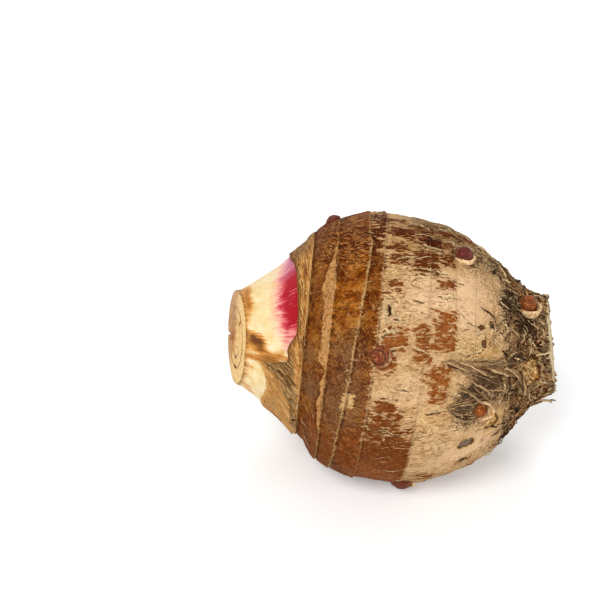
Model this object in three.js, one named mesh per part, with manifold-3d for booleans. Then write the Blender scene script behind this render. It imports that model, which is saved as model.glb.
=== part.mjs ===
// A taro corm as it is sold: lying on its side, its leaf stalks cut short at one end and its
// neck, where it hung from the mother corm, cut flat at the other.
// Millimetres. +X runs from the leaf stalks to the cut neck, +Z is up, and the floor is z = 0.
// A "turn" is the angle round the corm's length, in degrees: 0 faces -Y, 90 faces up.
import * as THREE from "three";
import { mergeVertices } from "three/addons/utils/BufferGeometryUtils.js";
import Module from "manifold-3d";

const wasm = await Module();
wasm.setup();

// ---- Driving dimensions ----

const axisHeight = 43.6; // of the corm's middle over the floor, so that its belly rests on a flat
const skinGap = 0.35; // between two pieces that touch
const blockSize = 160; // of the block that makes each flat cut

// Where the outline changes: [x, radius, how far the middle is above axisHeight].
const cormStations = [
  [-35.4, 0, 1.6],
  [-34.6, 18, 1.6],
  [-32.6, 29.5, 1.5],
  [-30.5, 34, 1.4],
  [-28, 37.4, 1.35],
  [-25, 39.7, 1.3],
  [-20, 42.3, 1.2],
  [-14.5, 43.8, 1],
  [-9, 44.6, 0.8],
  [-4, 44.9, 0.4],
  [1.5, 44.9, -0.1],
  [6.5, 44.4, -0.7],
  [12, 43.5, -1],
  [17.5, 41.9, -1],
  [22.5, 39.5, -1.3],
  [28, 36.1, -1.8],
  [33.5, 31.8, -1.9],
  [38.5, 26.5, -1.7],
  [42.5, 21.9, -1.1],
  [46.5, 18.4, 0.3],
  [50, 16.6, 1.4],
  [58, 15.6, 2.6],
];
const stalkStations = [
  [-60, 12.6, 4.8],
  [-52, 16.2, 3.9],
  [-48, 18.8, 3.5],
  [-44, 21.8, 3],
  [-38, 26.2, 2.1],
  [-33.5, 31.3, 1.6],
  [-28, 35.6, 1.3],
];

// The rings that the old leaf bases left round the corm. Each lies at x where its turn is
// levelTurn, leans along the corm by slant for each mm up across it, and steps down by drop.
const levelTurn = 30;
const collarRing = { x: -29.8, slant: 0.085, drop: 0 };
const huskRings = [
  collarRing,
  { x: -23, slant: 0.095, drop: 0.6 },
  { x: -15, slant: 0.2, drop: 0.6 },
  { x: -7.2, slant: 0.13, drop: 0.6 },
  { x: 6.2, slant: 0.11, drop: 0.4 },
  { x: 15, slant: 0.1, drop: 0.3 },
  { x: 22, slant: 0.08, drop: 0.3 },
  { x: 28.5, slant: 0.06, drop: 0.3 },
  { x: 34.5, slant: 0.04, drop: 0.3 },
];

// The planes that a knife went through: a point on each, and the way that the cut faces.
const neckCut = { at: [53.3, 0, 45.5], facing: [0.973, -0.147, 0.182] };
const stalkCut = { at: [-53.6, 0, 47.4], facing: [-0.97, -0.2, 0.12] };

// The leaf bases that clasp each other: the turns that each spans, how deep it lies and how
// thick it is. The heart of the shoot fills what they leave.
const stalkBases = {
  leaf_stalk_front: { from: 16, to: 206, depth: 0, thickness: 5 },
  leaf_stalk_lower: { from: 209, to: 373, depth: 0, thickness: 4.6 },
  leaf_stalk_inner: { from: 64, to: 300, depth: 5.6, thickness: 3 },
  leaf_stalk_wedge: { from: 304, to: 420, depth: 5.6, thickness: 3 },
};
const heartDepth = 9.3;
const stalkRoot = -29; // the x that the bases run to, inside the dry collar

// The dry collar is a leaf base that has withered. Its ragged free edge: [turn, x].
const collarThickness = 0.8;
const collarEdge = [
  [-60, -47.5],
  [-38, -44],
  [-20, -42.7],
  [0, -41.4],
  [12, -42.6],
  [18, -36],
  [26, -33.2],
  [42, -31.2],
  [62, -31],
  [80, -32.2],
  [97, -34.2],
  [120, -35.2],
  [150, -33.2],
  [180, -34.6],
  [205, -37.2],
  [228, -40.6],
  [252, -44.6],
  [276, -47],
];

// Each side bud: its place, how wide and how tall it stands, and how far it leans to the stalks.
const buds = {
  bud_shoulder: { x: 20.4, turn: 79, radius: 2.9, height: 3.6, lean: 20 },
  bud_neck: { x: 41.8, turn: 69, radius: 3, height: 5, lean: 25 },
  bud_band: { x: -7.2, turn: 28.8, radius: 3, height: 1.8, lean: 10 },
  bud_open: { x: 24.4, turn: 0.8, radius: 3, height: 2.4, lean: 0 },
  bud_belly: { x: 2.4, turn: -55, radius: 3.8, height: 2.8, lean: 15 },
  bud_crown: { x: -20.3, turn: 111, radius: 2.5, height: 1.6, lean: 15 },
  bud_back_upper: { x: 9, turn: 158, radius: 3, height: 3, lean: 20 },
  bud_back_lower: { x: -12, turn: 202, radius: 3.2, height: 2.6, lean: 15 },
  bud_back_shoulder: { x: 30, turn: 196, radius: 3, height: 3.4, lean: 10 },
  bud_under_neck: { x: 40, turn: 240, radius: 2.6, height: 3, lean: 20 },
};
const budFoot = 1.6; // how far a bud's shape starts below the skin

// Each dried root: its thickness, and the places that it passes: [x, turn, height off the skin].
const roots = {
  root_long: {
    radius: 0.75,
    over: [
      [13.5, 25.8, 0.1],
      [21.5, 22.6, 0.1],
      [26.8, 19.7, 0.2],
      [32.1, 18.5, 0.3],
      [36.5, 15.1, 0.4],
      [39, 5.4, 0.5],
      [41.3, -7, 0.5],
      [44.6, -25, 0.3],
    ],
  },
  root_stub_front: { radius: 0.65, over: [[44.6, -36, 0.1], [48, -37, 0.7], [51.5, -40, 2.4]] },
  root_stub_top: { radius: 0.6, over: [[38, 142, 0.1], [40, 146, 1], [41.5, 152, 2.6]] },
  root_back: {
    radius: 0.7,
    over: [[24, 150, 0.1], [31, 158, 0.1], [37, 170, 0.3], [41, 184, 0.4], [44, 200, 0.4]],
  },
  root_stub_back: { radius: 0.65, over: [[42, 226, 0.2], [45, 232, 0.9], [47, 240, 2.4]] },
  root_under: { radius: 0.6, over: [[34, 272, 0.2], [38.5, 277, 0.2], [42, 282, 0.4], [44.5, 286, 0.8]] },
};
const rootStepsPerPlace = 3;

// ---- Outline and skin ----

const radians = THREE.MathUtils.degToRad;
const degrees = THREE.MathUtils.radToDeg;

// Straight-line reading of a table of [place, value, ...] rows at a place.
function readTable(rows, place) {
  const next = rows.findIndex((row) => row[0] >= place);
  if (next === 0) return rows[0].slice(1);
  if (next < 0) return rows.at(-1).slice(1);
  const [before, after] = [rows[next - 1], rows[next]];
  const share = (place - before[0]) / (after[0] - before[0]);
  return before.slice(1).map((value, i) => THREE.MathUtils.lerp(value, after[i + 1], share));
}

function smoothTable(stations) {
  const points = stations.map((station) => new THREE.Vector3(...station));
  const line = new THREE.CatmullRomCurve3(points, false, "centripetal");
  return line.getPoints(400).map((p) => p.toArray());
}

const cormOutline = smoothTable(cormStations);
const stalkOutline = smoothTable(stalkStations);

// The corm isn't quite round: it is a little wider one way, and faintly three-sided.
function outOfRound(turn) {
  return 1 + 0.012 * Math.sin(radians(2 * turn - 60)) + 0.009 * Math.sin(radians(3 * turn));
}

const lastStation = cormStations.at(-1)[0];
const slantRows = [
  [cormStations[0][0], 0],
  ...huskRings.map(({ x, slant }) => [x, slant]),
  [lastStation, 0],
];

// The x of a row that leans as the rings do, at a turn.
function leaningX(row, turn) {
  const [slant] = readTable(slantRows, row);
  const [radius] = readTable(cormOutline, row);
  return row + slant * radius * Math.sin(radians(turn - levelTurn));
}

// What is left of an old leaf base stands off the skin towards the stalks from each ring.
function huskHeight(row) {
  const ring = huskRings.findIndex(({ x }) => x >= row);
  if (ring < 1) return 0;
  const from = huskRings[ring - 1].x;
  return (huskRings[ring].drop * (row - from)) / (huskRings[ring].x - from);
}

function around(x, turn, radius, lift) {
  const a = radians(turn);
  return new THREE.Vector3(x, -radius * Math.cos(a), axisHeight + lift + radius * Math.sin(a));
}

// A point of the skin on a row, or so far off it.
function onRow(row, turn, off = 0) {
  const x = leaningX(row, turn);
  const [radius, lift] = readTable(cormOutline, x);
  const stands = radius > 0 ? radius * outOfRound(turn) + huskHeight(row) + off : 0;
  return around(x, turn, stands, lift);
}

// A point so far off the skin at a true place along the corm.
function onSkin(x, turn, off = 0) {
  let row = x;
  for (let i = 0; i < 12; i += 1) row += x - leaningX(row, turn);
  return onRow(row, turn, off);
}

// The way that the skin faces there.
function skinNormal(x, turn) {
  const along = onSkin(x + 1.5, turn).sub(onSkin(x - 1.5, turn));
  const across = onSkin(x, turn + 3).sub(onSkin(x, turn - 3));
  return along.cross(across).normalize();
}

// ---- Closed meshes ----

// Moves each vertex of a three.js geometry, and keeps only its merged positions.
function reshape(geometry, place) {
  const plain = geometry.clone();
  plain.deleteAttribute("normal");
  plain.deleteAttribute("uv");
  const positions = plain.attributes.position;
  const v = new THREE.Vector3();
  for (let i = 0; i < positions.count; i += 1) {
    v.fromBufferAttribute(positions, i);
    const p = place(v);
    positions.setXYZ(i, p.x, p.y, p.z);
  }
  return mergeVertices(plain, 1e-4);
}

// A reshaped geometry can come out inside out, so then its triangles are turned round.
function solidOf(geometry) {
  const vertProperties = new Float32Array(geometry.attributes.position.array);
  const triVerts = new Uint32Array(geometry.index.array);
  const made = new wasm.Manifold(new wasm.Mesh({ numProp: 3, vertProperties, triVerts }));
  if (made.volume() > 0) return made;
  for (let i = 0; i < triVerts.length; i += 3) {
    [triVerts[i + 1], triVerts[i + 2]] = [triVerts[i + 2], triVerts[i + 1]];
  }
  return new wasm.Manifold(new wasm.Mesh({ numProp: 3, vertProperties, triVerts }));
}

function geometryOf(solid) {
  const { vertProperties, triVerts } = solid.getMesh();
  const geometry = new THREE.BufferGeometry();
  geometry.setAttribute("position", new THREE.BufferAttribute(new Float32Array(vertProperties), 3));
  geometry.setIndex(new THREE.BufferAttribute(new Uint32Array(triVerts), 1));
  return geometry;
}

// A block that fills everything beyond a plane.
function blockBeyond({ at, facing }) {
  const normal = new THREE.Vector3(...facing).normalize();
  const quaternion = new THREE.Quaternion().setFromUnitVectors(new THREE.Vector3(0, 0, 1), normal);
  const middle = new THREE.Vector3(...at).addScaledVector(normal, blockSize / 2);
  const box = new THREE.BoxGeometry(blockSize, blockSize, blockSize);
  return solidOf(reshape(box, (v) => v.clone().applyQuaternion(quaternion).add(middle)));
}

const belowFloor = blockBeyond({ at: [0, 0, 0], facing: [0, 0, -1] });
const beyondNeckCut = blockBeyond(neckCut);
const beyondStalkCut = blockBeyond(stalkCut);

// ---- The corm ----

// The rows of its mesh: close ones on the blunt end, even ones, and a close pair at each ring.
function cormRows() {
  const blunt = [-35.4, -34.9, -34.2, -32.8, -31.2];
  const count = 28;
  const even = Array.from({ length: count }, (_, i) => THREE.MathUtils.lerp(-29.2, lastStation, i / (count - 1)));
  const clear = even.filter((row) => huskRings.every((ring) => Math.abs(row - ring.x) > 1));
  const pairs = huskRings.slice(1).flatMap((ring) => [ring.x - 0.05, ring.x + 0.25]);
  return [...blunt, ...clear, ...pairs].sort((a, b) => a - b);
}

function cormSolid(off = 0) {
  const rows = cormRows();
  const profile = rows.map((_, i) => new THREE.Vector2(i > 0 ? 1 : 0, i));
  profile.push(new THREE.Vector2(0, rows.length));
  const middle = (x) => around(x, 0, 0, readTable(cormOutline, x)[1]);
  const skin = reshape(new THREE.LatheGeometry(profile, 50), (v) => {
    const level = Math.round(v.y);
    if (level === 0) return middle(rows[0] - off);
    if (level === rows.length) return middle(rows.at(-1) + off);
    return onRow(rows[level], degrees(Math.atan2(v.z, v.x)), off);
  });
  return solidOf(skin);
}

const cormWithGap = cormSolid(skinGap);
const corm = cormSolid().subtract(belowFloor).subtract(beyondNeckCut);

// ---- The cut leaf stalks ----

// A clasping base: a bent plate, thick in its middle and thin at both margins.
function claspingBase({ from, to, depth, thickness }) {
  const plate = reshape(new THREE.BoxGeometry(1, 1, 1, 7, 18, 1), (v) => {
    const x = THREE.MathUtils.lerp(stalkStations[0][0], stalkRoot, v.x + 0.5);
    const turn = THREE.MathUtils.lerp(from, to, v.y + 0.5);
    const [radius, lift] = readTable(stalkOutline, x);
    const thick = thickness * (0.5 + 0.5 * Math.sqrt(1 - Math.min(1, (2 * v.y) ** 2)));
    return around(x, turn, radius - depth - thick * (0.5 - v.z), lift);
  });
  return solidOf(plate).subtract(cormWithGap).subtract(beyondStalkCut);
}

function heartOfShoot() {
  const levels = 5;
  const profile = [new THREE.Vector2(0, 0)];
  for (let i = 0; i <= levels; i += 1) profile.push(new THREE.Vector2(1, i));
  profile.push(new THREE.Vector2(0, levels));
  const heart = reshape(new THREE.LatheGeometry(profile, 24), (v) => {
    const x = THREE.MathUtils.lerp(stalkStations[0][0], stalkRoot, v.y / levels);
    const [radius, lift] = readTable(stalkOutline, x);
    const reach = Math.hypot(v.x, v.z) * (radius - heartDepth);
    return around(x, degrees(Math.atan2(v.z, v.x)), reach, lift);
  });
  return solidOf(heart).subtract(cormWithGap).subtract(beyondStalkCut);
}

// ---- The dry collar ----

// A thin ring that lies on the corm's shoulder and then on the stalks, out to its ragged edge.
function dryCollar() {
  const first = collarEdge[0];
  const closed = [...collarEdge, [first[0] + 360, first[1]]];
  const steps = 5;
  const profile = [];
  for (let i = 0; i <= steps; i += 1) profile.push(new THREE.Vector2(1, i));
  for (let i = steps; i >= 0; i -= 1) profile.push(new THREE.Vector2(2, i));
  profile.push(new THREE.Vector2(1, 0));
  const ring = reshape(new THREE.LatheGeometry(profile, 64), (v) => {
    const angle = degrees(Math.atan2(v.z, v.x));
    const turn = angle < first[0] ? angle + 360 : angle;
    const [edge] = readTable(closed, turn);
    const x = THREE.MathUtils.lerp(leaningX(collarRing.x, turn), edge, v.y / steps);
    const [stalkRadius, lift] = readTable(stalkOutline, x);
    const [cormRadius, cormLift] = readTable(cormOutline, x);
    const overCorm = cormRadius * outOfRound(turn) + (cormLift - lift) * Math.sin(radians(turn));
    const inner = Math.max(stalkRadius, overCorm) + skinGap;
    const outer = Math.hypot(v.x, v.z) > 1.5 ? collarThickness : 0;
    return around(x, turn, inner + outer, lift);
  });
  return solidOf(ring).subtract(cormWithGap);
}

// ---- Side buds and roots ----

// A blunt bud that stands on the skin, its foot cut to fit there.
function sideBud({ x, turn, radius, height, lean }) {
  const foot = onSkin(x, turn, -budFoot);
  const normal = skinNormal(x, turn);
  const toStalks = new THREE.Vector3(-1, 0, 0).projectOnPlane(normal).normalize();
  const up = normal.multiplyScalar(Math.cos(radians(lean))).addScaledVector(toStalks, Math.sin(radians(lean)));
  const shares = [[0, 0], [1, 0], [1.06, 0.3], [0.98, 0.55], [0.72, 0.8], [0.34, 0.95], [0, 1]];
  const profile = shares.map(([r, y]) => new THREE.Vector2(r * radius, y * (height + budFoot)));
  const quaternion = new THREE.Quaternion().setFromUnitVectors(new THREE.Vector3(0, 1, 0), up);
  const place = (v) => v.clone().applyQuaternion(quaternion).add(foot);
  return solidOf(reshape(new THREE.LatheGeometry(profile, 12), place)).subtract(cormWithGap);
}

function driedRoot({ radius, over }) {
  const points = over.map(([x, turn, off]) => onSkin(x, turn, off + radius + skinGap));
  const extrudePath = new THREE.CatmullRomCurve3(points, false, "centripetal");
  const section = new THREE.Shape().absarc(0, 0, radius, 0, 2 * Math.PI);
  const steps = rootStepsPerPlace * over.length;
  const tube = new THREE.ExtrudeGeometry(section, { steps, extrudePath, curveSegments: 4 });
  return solidOf(reshape(tube, (v) => v.clone())).subtract(cormWithGap);
}

// ---- Materials and the group ----

function material(color, roughness) {
  return new THREE.MeshStandardMaterial({ color, roughness, metalness: 0 });
}

const skinFinish = material(0x9a6f42, 0.85);
const stalkFinish = material(0xeadfb4, 0.45);
const paperyFinish = material(0x8d6a3c, 0.8);
const budFinish = material(0x6b3a2c, 0.5);
const rootFinish = material(0x6a5a48, 0.9);

const group = new THREE.Group();

function add(name, solid, finish) {
  const mesh = new THREE.Mesh(geometryOf(solid), finish.clone());
  mesh.name = name;
  group.add(mesh);
}

add("corm", corm, skinFinish);
for (const [name, base] of Object.entries(stalkBases)) add(name, claspingBase(base), stalkFinish);
add("leaf_stalk_heart", heartOfShoot(), stalkFinish);
add("dry_collar", dryCollar(), paperyFinish);
for (const [name, bud] of Object.entries(buds)) add(name, sideBud(bud), budFinish);
for (const [name, root] of Object.entries(roots)) add(name, driedRoot(root), rootFinish);

// The origin is under the middle of the whole part.
const box = new THREE.Box3().setFromObject(group);
group.position.set(-(box.min.x + box.max.x) / 2, -(box.min.y + box.max.y) / 2, -box.min.z);

export default group;
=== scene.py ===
# A taro corm lying on its belly: ringed brown husk, peeled tan skin, a cut shoot and a cut neck.
# Lengths are in millimetres and turned to metres where a mesh is written. A turn is the angle
# round the corm's length in degrees: 0 faces the front, 90 faces up.
import math
import random
import bpy
import numpy as np
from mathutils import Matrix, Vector, noise
from mathutils.bvhtree import BVHTree


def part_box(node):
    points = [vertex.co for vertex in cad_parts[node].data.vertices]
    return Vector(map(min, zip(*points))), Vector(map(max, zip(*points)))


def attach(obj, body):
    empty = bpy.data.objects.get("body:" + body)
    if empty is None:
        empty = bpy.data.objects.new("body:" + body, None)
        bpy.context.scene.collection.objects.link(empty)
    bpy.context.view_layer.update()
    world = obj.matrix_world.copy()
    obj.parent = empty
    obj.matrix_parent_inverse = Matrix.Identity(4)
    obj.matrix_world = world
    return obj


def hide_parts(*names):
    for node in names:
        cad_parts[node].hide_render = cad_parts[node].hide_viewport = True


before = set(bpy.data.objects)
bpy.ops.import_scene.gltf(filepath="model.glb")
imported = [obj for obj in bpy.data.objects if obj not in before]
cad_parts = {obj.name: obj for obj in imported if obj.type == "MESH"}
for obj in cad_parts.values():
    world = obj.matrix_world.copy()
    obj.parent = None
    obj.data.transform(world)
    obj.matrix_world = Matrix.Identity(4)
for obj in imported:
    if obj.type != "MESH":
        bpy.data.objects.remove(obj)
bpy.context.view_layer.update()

mm = 0.001
cormLow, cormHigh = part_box("corm")

def clearSelection():
    if bpy.context.object and bpy.context.object.mode != "OBJECT":
        bpy.ops.object.mode_set(mode="OBJECT")
    bpy.ops.object.select_all(action="DESELECT")


def noiseAt(points, size, seed=0, octaves=1):
    # smooth noise from -1 to 1, with features about size mm across, size for each axis if it is a list
    scaled = points / np.array(size, dtype=float) + 13.7 * seed
    total = np.zeros(len(points))
    for octave in range(octaves):
        share = 0.5 ** octave
        total += share * np.array([noise.noise(p) for p in (scaled * 2.0 ** octave).tolist()])
    return total


def ringOf(turn, radius, height=0.0):
    # places round a ring, for noise that meets itself again
    return np.stack([np.cos(turn) * radius, np.sin(turn) * radius, height + 0 * turn], axis=1)


def smoothStep(low, high, value):
    share = np.clip((value - low) / (high - low), 0, 1)
    return share * share * (3 - 2 * share)


def readCoords(piece):
    coords = np.zeros(len(piece.data.vertices) * 3)
    piece.data.vertices.foreach_get("co", coords)
    return coords.reshape(-1, 3)


def readNormals(piece):
    normals = np.zeros(len(piece.data.vertices) * 3)
    piece.data.vertices.foreach_get("normal", normals)
    return normals.reshape(-1, 3)


def writeCoords(piece, coords):
    piece.data.vertices.foreach_set("co", coords.reshape(-1))
    piece.data.update()


def paint(piece, **fields):
    # one number for each vertex, or three, which the material reads by name
    for name, values in fields.items():
        values = np.asarray(values, dtype=np.float32)
        kind, label = ("FLOAT", "value") if values.ndim == 1 else ("FLOAT_VECTOR", "vector")
        layer = piece.data.attributes.new(name, kind, "POINT")
        layer.data.foreach_set(label, values.reshape(-1))


def smoothUpTo(degrees):
    bpy.ops.object.shade_smooth_by_angle(angle=math.radians(degrees))


def faceOutwards():
    # turns every face of the active piece outwards
    bpy.ops.object.mode_set(mode="EDIT")
    bpy.ops.mesh.select_all(action="SELECT")
    bpy.ops.mesh.normals_make_consistent(inside=False)
    bpy.ops.object.mode_set(mode="OBJECT")


form = {
    "axisHeight": 43.6,       # of the line that turns are measured round
    "bluntEnd": -35.4,        # where the corm starts, under the stalks, from its widest place
    "neckRim": 53.3,          # where the cut crosses that line
    "neckLean": (-0.151, -0.187),   # how the cut leans along the corm for each mm to the front and up
    "readStep": 1.5,          # between the places where the outline is read
    "readTurns": 48,
    "harmonics": 4,           # how much of its out-of-roundness is kept
    "blur": 1.6,
}
# rings that old leaf bases left: where, how it leans, how high it stands, how plainly it shows
rings = [
    {"x": -30.6, "slant": 0.095, "drop": 0.3, "show": 0.9},
    {"x": -23.1, "slant": 0.1, "drop": 0.45, "show": 1.0},
    {"x": -15.0, "slant": 0.185, "drop": 0.45, "show": 1.0},
    {"x": -8.9, "slant": 0.12, "drop": 0.45, "show": 0.65},
    {"x": 6.2, "slant": 0.11, "drop": 0.25, "show": 0.25},
    {"x": 15.0, "slant": 0.1, "drop": 0.2, "show": 0.15},
    {"x": 22.0, "slant": 0.08, "drop": 0.2, "show": 0.15},
    {"x": 28.5, "slant": 0.06, "drop": 0.25, "show": 0.15},
    {"x": 34.5, "slant": 0.04, "drop": 0.3, "show": 0.2},
]
ringX = np.array([ring["x"] for ring in rings])
ringSlant = np.array([ring["slant"] for ring in rings])
levelTurn = math.radians(30)   # a ring's own x is where it lies at this turn
perRadian = 57.3
xZero = cormLow[0] / mm - form["bluntEnd"]


def readOutline():
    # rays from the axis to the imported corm, kept as a few smooth harmonics along its length
    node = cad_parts["corm"]
    places = np.arange(-35.0, 47.0, form["readStep"])
    turns = np.radians(np.arange(form["readTurns"]) * 360 / form["readTurns"])
    table = np.zeros((len(places), len(turns)))
    for i, x in enumerate(places):
        start = Vector(((x + xZero) * mm, 0, form["axisHeight"] * mm))
        for j, turn in enumerate(turns):
            hit, spot = node.ray_cast(start, (0, -math.cos(turn), math.sin(turn)))[:2]
            table[i, j] = (spot - start).length / mm if hit else 15
    belly = (turns > math.radians(250)) & (turns < math.radians(290))   # the flat isn't part of the outline
    for row in table:
        row[belly] = np.interp(turns[belly], turns[~belly], row[~belly])
    fine = np.arange(-35.0, 62.0, 0.25)
    window = np.exp(-0.5 * (np.arange(-20, 21) * 0.25 / form["blur"]) ** 2)
    window /= window.sum()
    parts = []
    for order in range(form["harmonics"] + 1):
        for wave in (np.cos(order * turns), np.sin(order * turns)):
            weight = (table * wave).mean(axis=1) * (1 if order == 0 else 2)
            slope = (weight[-1] - weight[-4]) / (places[-1] - places[-4])
            beyond = weight[-1] + slope * 0.45 * (fine - places[-1])
            raw = np.where(fine > places[-1], beyond, np.interp(fine, places, weight))
            soft = np.convolve(np.pad(raw, 20, mode="edge"), window, mode="valid")
            keep = smoothStep(-33, -30.5, fine)
            parts.append(raw * (1 - keep) + soft * keep)
    return fine, np.array(parts)


outlineX, outlineParts = readOutline()


shoot = {
    "stations": [   # x, radius, how far its middle lies above the corm's
        (-60, 12.6, 4.8), (-52, 16.2, 3.9), (-48, 18.8, 3.5), (-44, 21.8, 3.0), (-38, 26.2, 2.1), (-33.5, 31.3, 1.6),
        (-28, 35.6, 1.3)],
    "ring": -30.6,           # the ring under whose edge the bases end, inside the collar
    "cutPoint": (-53.6, 0, 47.4),
    "cutFacing": (-0.97, -0.2, 0.12),
    "rows": 66,
    "capRows": 12,
    "lip": 0.35,             # how far the cut edge swells
}
cutNormal = np.array(shoot["cutFacing"]) / np.linalg.norm(shoot["cutFacing"])
shootX = np.arange(-62.0, -24.0, 0.25)
shootBlur = np.exp(-0.5 * (np.arange(-12, 13) * 0.25 / 1.1) ** 2)
shootBlur /= shootBlur.sum()


def shootTable(column):
    raw = np.interp(shootX, [s[0] for s in shoot["stations"]], [s[column] for s in shoot["stations"]])
    return np.convolve(np.pad(raw, 12, mode="reflect", reflect_type="odd"), shootBlur, mode="valid")


shootRadius, shootLift = shootTable(1), shootTable(2)


def shootAt(x):
    # its radius, and how far its middle lies above the corm's
    return np.interp(x, shootX, shootRadius), np.interp(x, shootX, shootLift)


def radiusAt(x, turn):
    total = np.zeros(np.broadcast(x, turn).shape)
    for i, weights in enumerate(outlineParts):
        order = i // 2
        wave = np.sin(order * turn) if i % 2 else np.cos(order * turn)
        total = total + np.interp(x, outlineX, weights) * wave
    # the shoulder under the collar fills out to the shoot
    wide, lift = shootAt(x)
    filled = (wide - 1.1 + lift * np.sin(turn)) * smoothStep(-35.5, -34.2, x)
    return np.where(x < -28.5, np.maximum(total, filled), total)


leanRows = np.concatenate([[form["bluntEnd"]], ringX, [form["neckRim"]]])
leanFront = np.concatenate([[0], -math.sin(levelTurn) * ringSlant, [form["neckLean"][0]]])
leanTop = np.concatenate([[0], math.cos(levelTurn) * ringSlant, [form["neckLean"][1]]])


def onRow(row, turn):
    # true place along the corm, and radius, of a row that leans as the rings do
    front = np.interp(row, leanRows, leanFront)
    top = np.interp(row, leanRows, leanTop)
    x = row + 0.0 * turn
    for _ in range(4):
        radius = radiusAt(x, turn)
        x = row + radius * (front * np.cos(turn) + top * np.sin(turn))
    return x, radius


def rowOf(x, turn):
    row = x + 0.0 * turn
    for _ in range(8):
        row = row + x - onRow(row, turn)[0]
    return row


def place(x, turn, radius):
    # millimetres in the part's own frame
    return np.stack([x + xZero, -radius * np.cos(turn), form["axisHeight"] + radius * np.sin(turn)], axis=-1)


def skinPoint(x, degrees, off=0.0):
    turn = math.radians(degrees)
    return Vector(place(np.array(x), np.array(turn), radiusAt(np.array(x), turn) + off))


def skinFrame(x, degrees):
    # on the skin: outwards, towards the stalks, and across between them
    along = skinPoint(x + 1, degrees) - skinPoint(x - 1, degrees)
    across = skinPoint(x, degrees + 2) - skinPoint(x, degrees - 2)
    outwards = along.cross(across).normalized()
    toStalks = -along.normalized()
    return outwards, toStalks, outwards.cross(toStalks)


building = {"tree": None}   # the node tree that the helpers below add to


def newNode(kind):
    return building["tree"].nodes.new(kind)


def feed(socket, value):
    if isinstance(value, bpy.types.NodeSocket):
        building["tree"].links.new(value, socket)
    elif value is not None:
        socket.default_value = value


def linear(colour):
    # red, green and blue as a screen shows them, 0 to 255, as the shader wants them; a socket stays as it is
    if isinstance(colour, bpy.types.NodeSocket):
        return colour
    share = [c / 255 for c in colour]
    return [c / 12.92 if c < 0.04045 else ((c + 0.055) / 1.055) ** 2.4 for c in share] + [1]


def sums(operation, a, b=None):
    node = newNode("ShaderNodeMath")
    node.operation = operation
    feed(node.inputs[0], a)
    feed(node.inputs[1], b)
    return node.outputs[0]


def times(a, b):
    return sums("MULTIPLY", a, b)


def plus(a, b):
    return sums("ADD", a, b)


def minus(a, b):
    return sums("SUBTRACT", a, b)


def unsigned(value):
    return sums("ABSOLUTE", value)


def swing(grain, reach):
    # noise from 0 to 1, made to swing to both sides of 0
    return times(minus(grain, 0.5), reach)


def nudged(field, grain, reach):
    # a field whose edges the noise makes ragged
    return plus(field, swing(grain, reach))


def vectors(operation, a, b=None, scale=None):
    node = newNode("ShaderNodeVectorMath")
    node.operation = operation
    feed(node.inputs[0], a)
    feed(node.inputs[1], b)
    feed(node.inputs[3], scale)
    return node.outputs[0]


def between(value, low, high, first=0.0, last=1.0, smooth=True):
    node = newNode("ShaderNodeMapRange")
    node.interpolation_type = "SMOOTHSTEP" if smooth else "LINEAR"
    for socket, number in zip(node.inputs, (value, low, high, first, last)):
        feed(socket, number)
    return node.outputs[0]


def blend(factor, first, second):
    node = newNode("ShaderNodeMix")
    node.data_type = "RGBA"
    feed(node.inputs[0], factor)
    feed(node.inputs[6], linear(first))    # its two colours come after its other kinds of values
    feed(node.inputs[7], linear(second))
    return node.outputs[2]


def over(under, mask, colour):
    # lays a colour over what is there, as far as the mask lets it
    return blend(mask, under, colour)


def layers(under, rows, gate=None):
    # lays colours over each other; a row is a field, its low and high ends, the mask there, and the colour
    for field, low, high, first, last, colour in rows:
        mask = between(field, low, high, first, last)
        under = over(under, mask if gate is None else times(mask, gate), colour)
    return under


def ramp(factor, stops):
    # a stop is its place, then red, green and blue
    node = newNode("ShaderNodeValToRGB")
    while len(node.color_ramp.elements) < len(stops):
        node.color_ramp.elements.new(0.5)
    for element, (spot, *colour) in zip(node.color_ramp.elements, stops):
        element.position = spot
        element.color = linear(colour)
    feed(node.inputs[0], factor)
    return node.outputs[0]


def cloud(vector, size, detail=3.0, roughness=0.55):
    # noise from 0 to 1 with features about size mm across
    node = newNode("ShaderNodeTexNoise")
    feed(node.inputs["Vector"], vector)
    for name, value in (("Scale", 1 / size), ("Detail", detail), ("Roughness", roughness)):
        feed(node.inputs[name], value)
    return node.outputs[0]


def painted(name, output="Fac"):
    node = newNode("ShaderNodeAttribute")
    node.attribute_name = name
    return node.outputs[output]


def millimetres():
    coordinates = newNode("ShaderNodeTexCoord")
    return vectors("SCALE", coordinates.outputs["Object"], scale=1 / mm)


def newGroup(name, inputs, outputs):
    # inputs are named with their usual values, and a vector has none
    group = bpy.data.node_groups.new(name, "ShaderNodeTree")
    for label, value in inputs.items():
        kind = "NodeSocketVector" if value is None else "NodeSocketFloat"
        socket = group.interface.new_socket(label, in_out="INPUT", socket_type=kind)
        if value is not None:
            socket.default_value = value
    for label in outputs:
        group.interface.new_socket(label, in_out="OUTPUT", socket_type="NodeSocketFloat")
    building["tree"] = group
    return group, newNode("NodeGroupInput").outputs, newNode("NodeGroupOutput").inputs


def useGroup(group, **values):
    node = newNode("ShaderNodeGroup")
    node.node_tree = group
    for label, value in values.items():
        feed(node.inputs[label], value)
    return node.outputs


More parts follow.
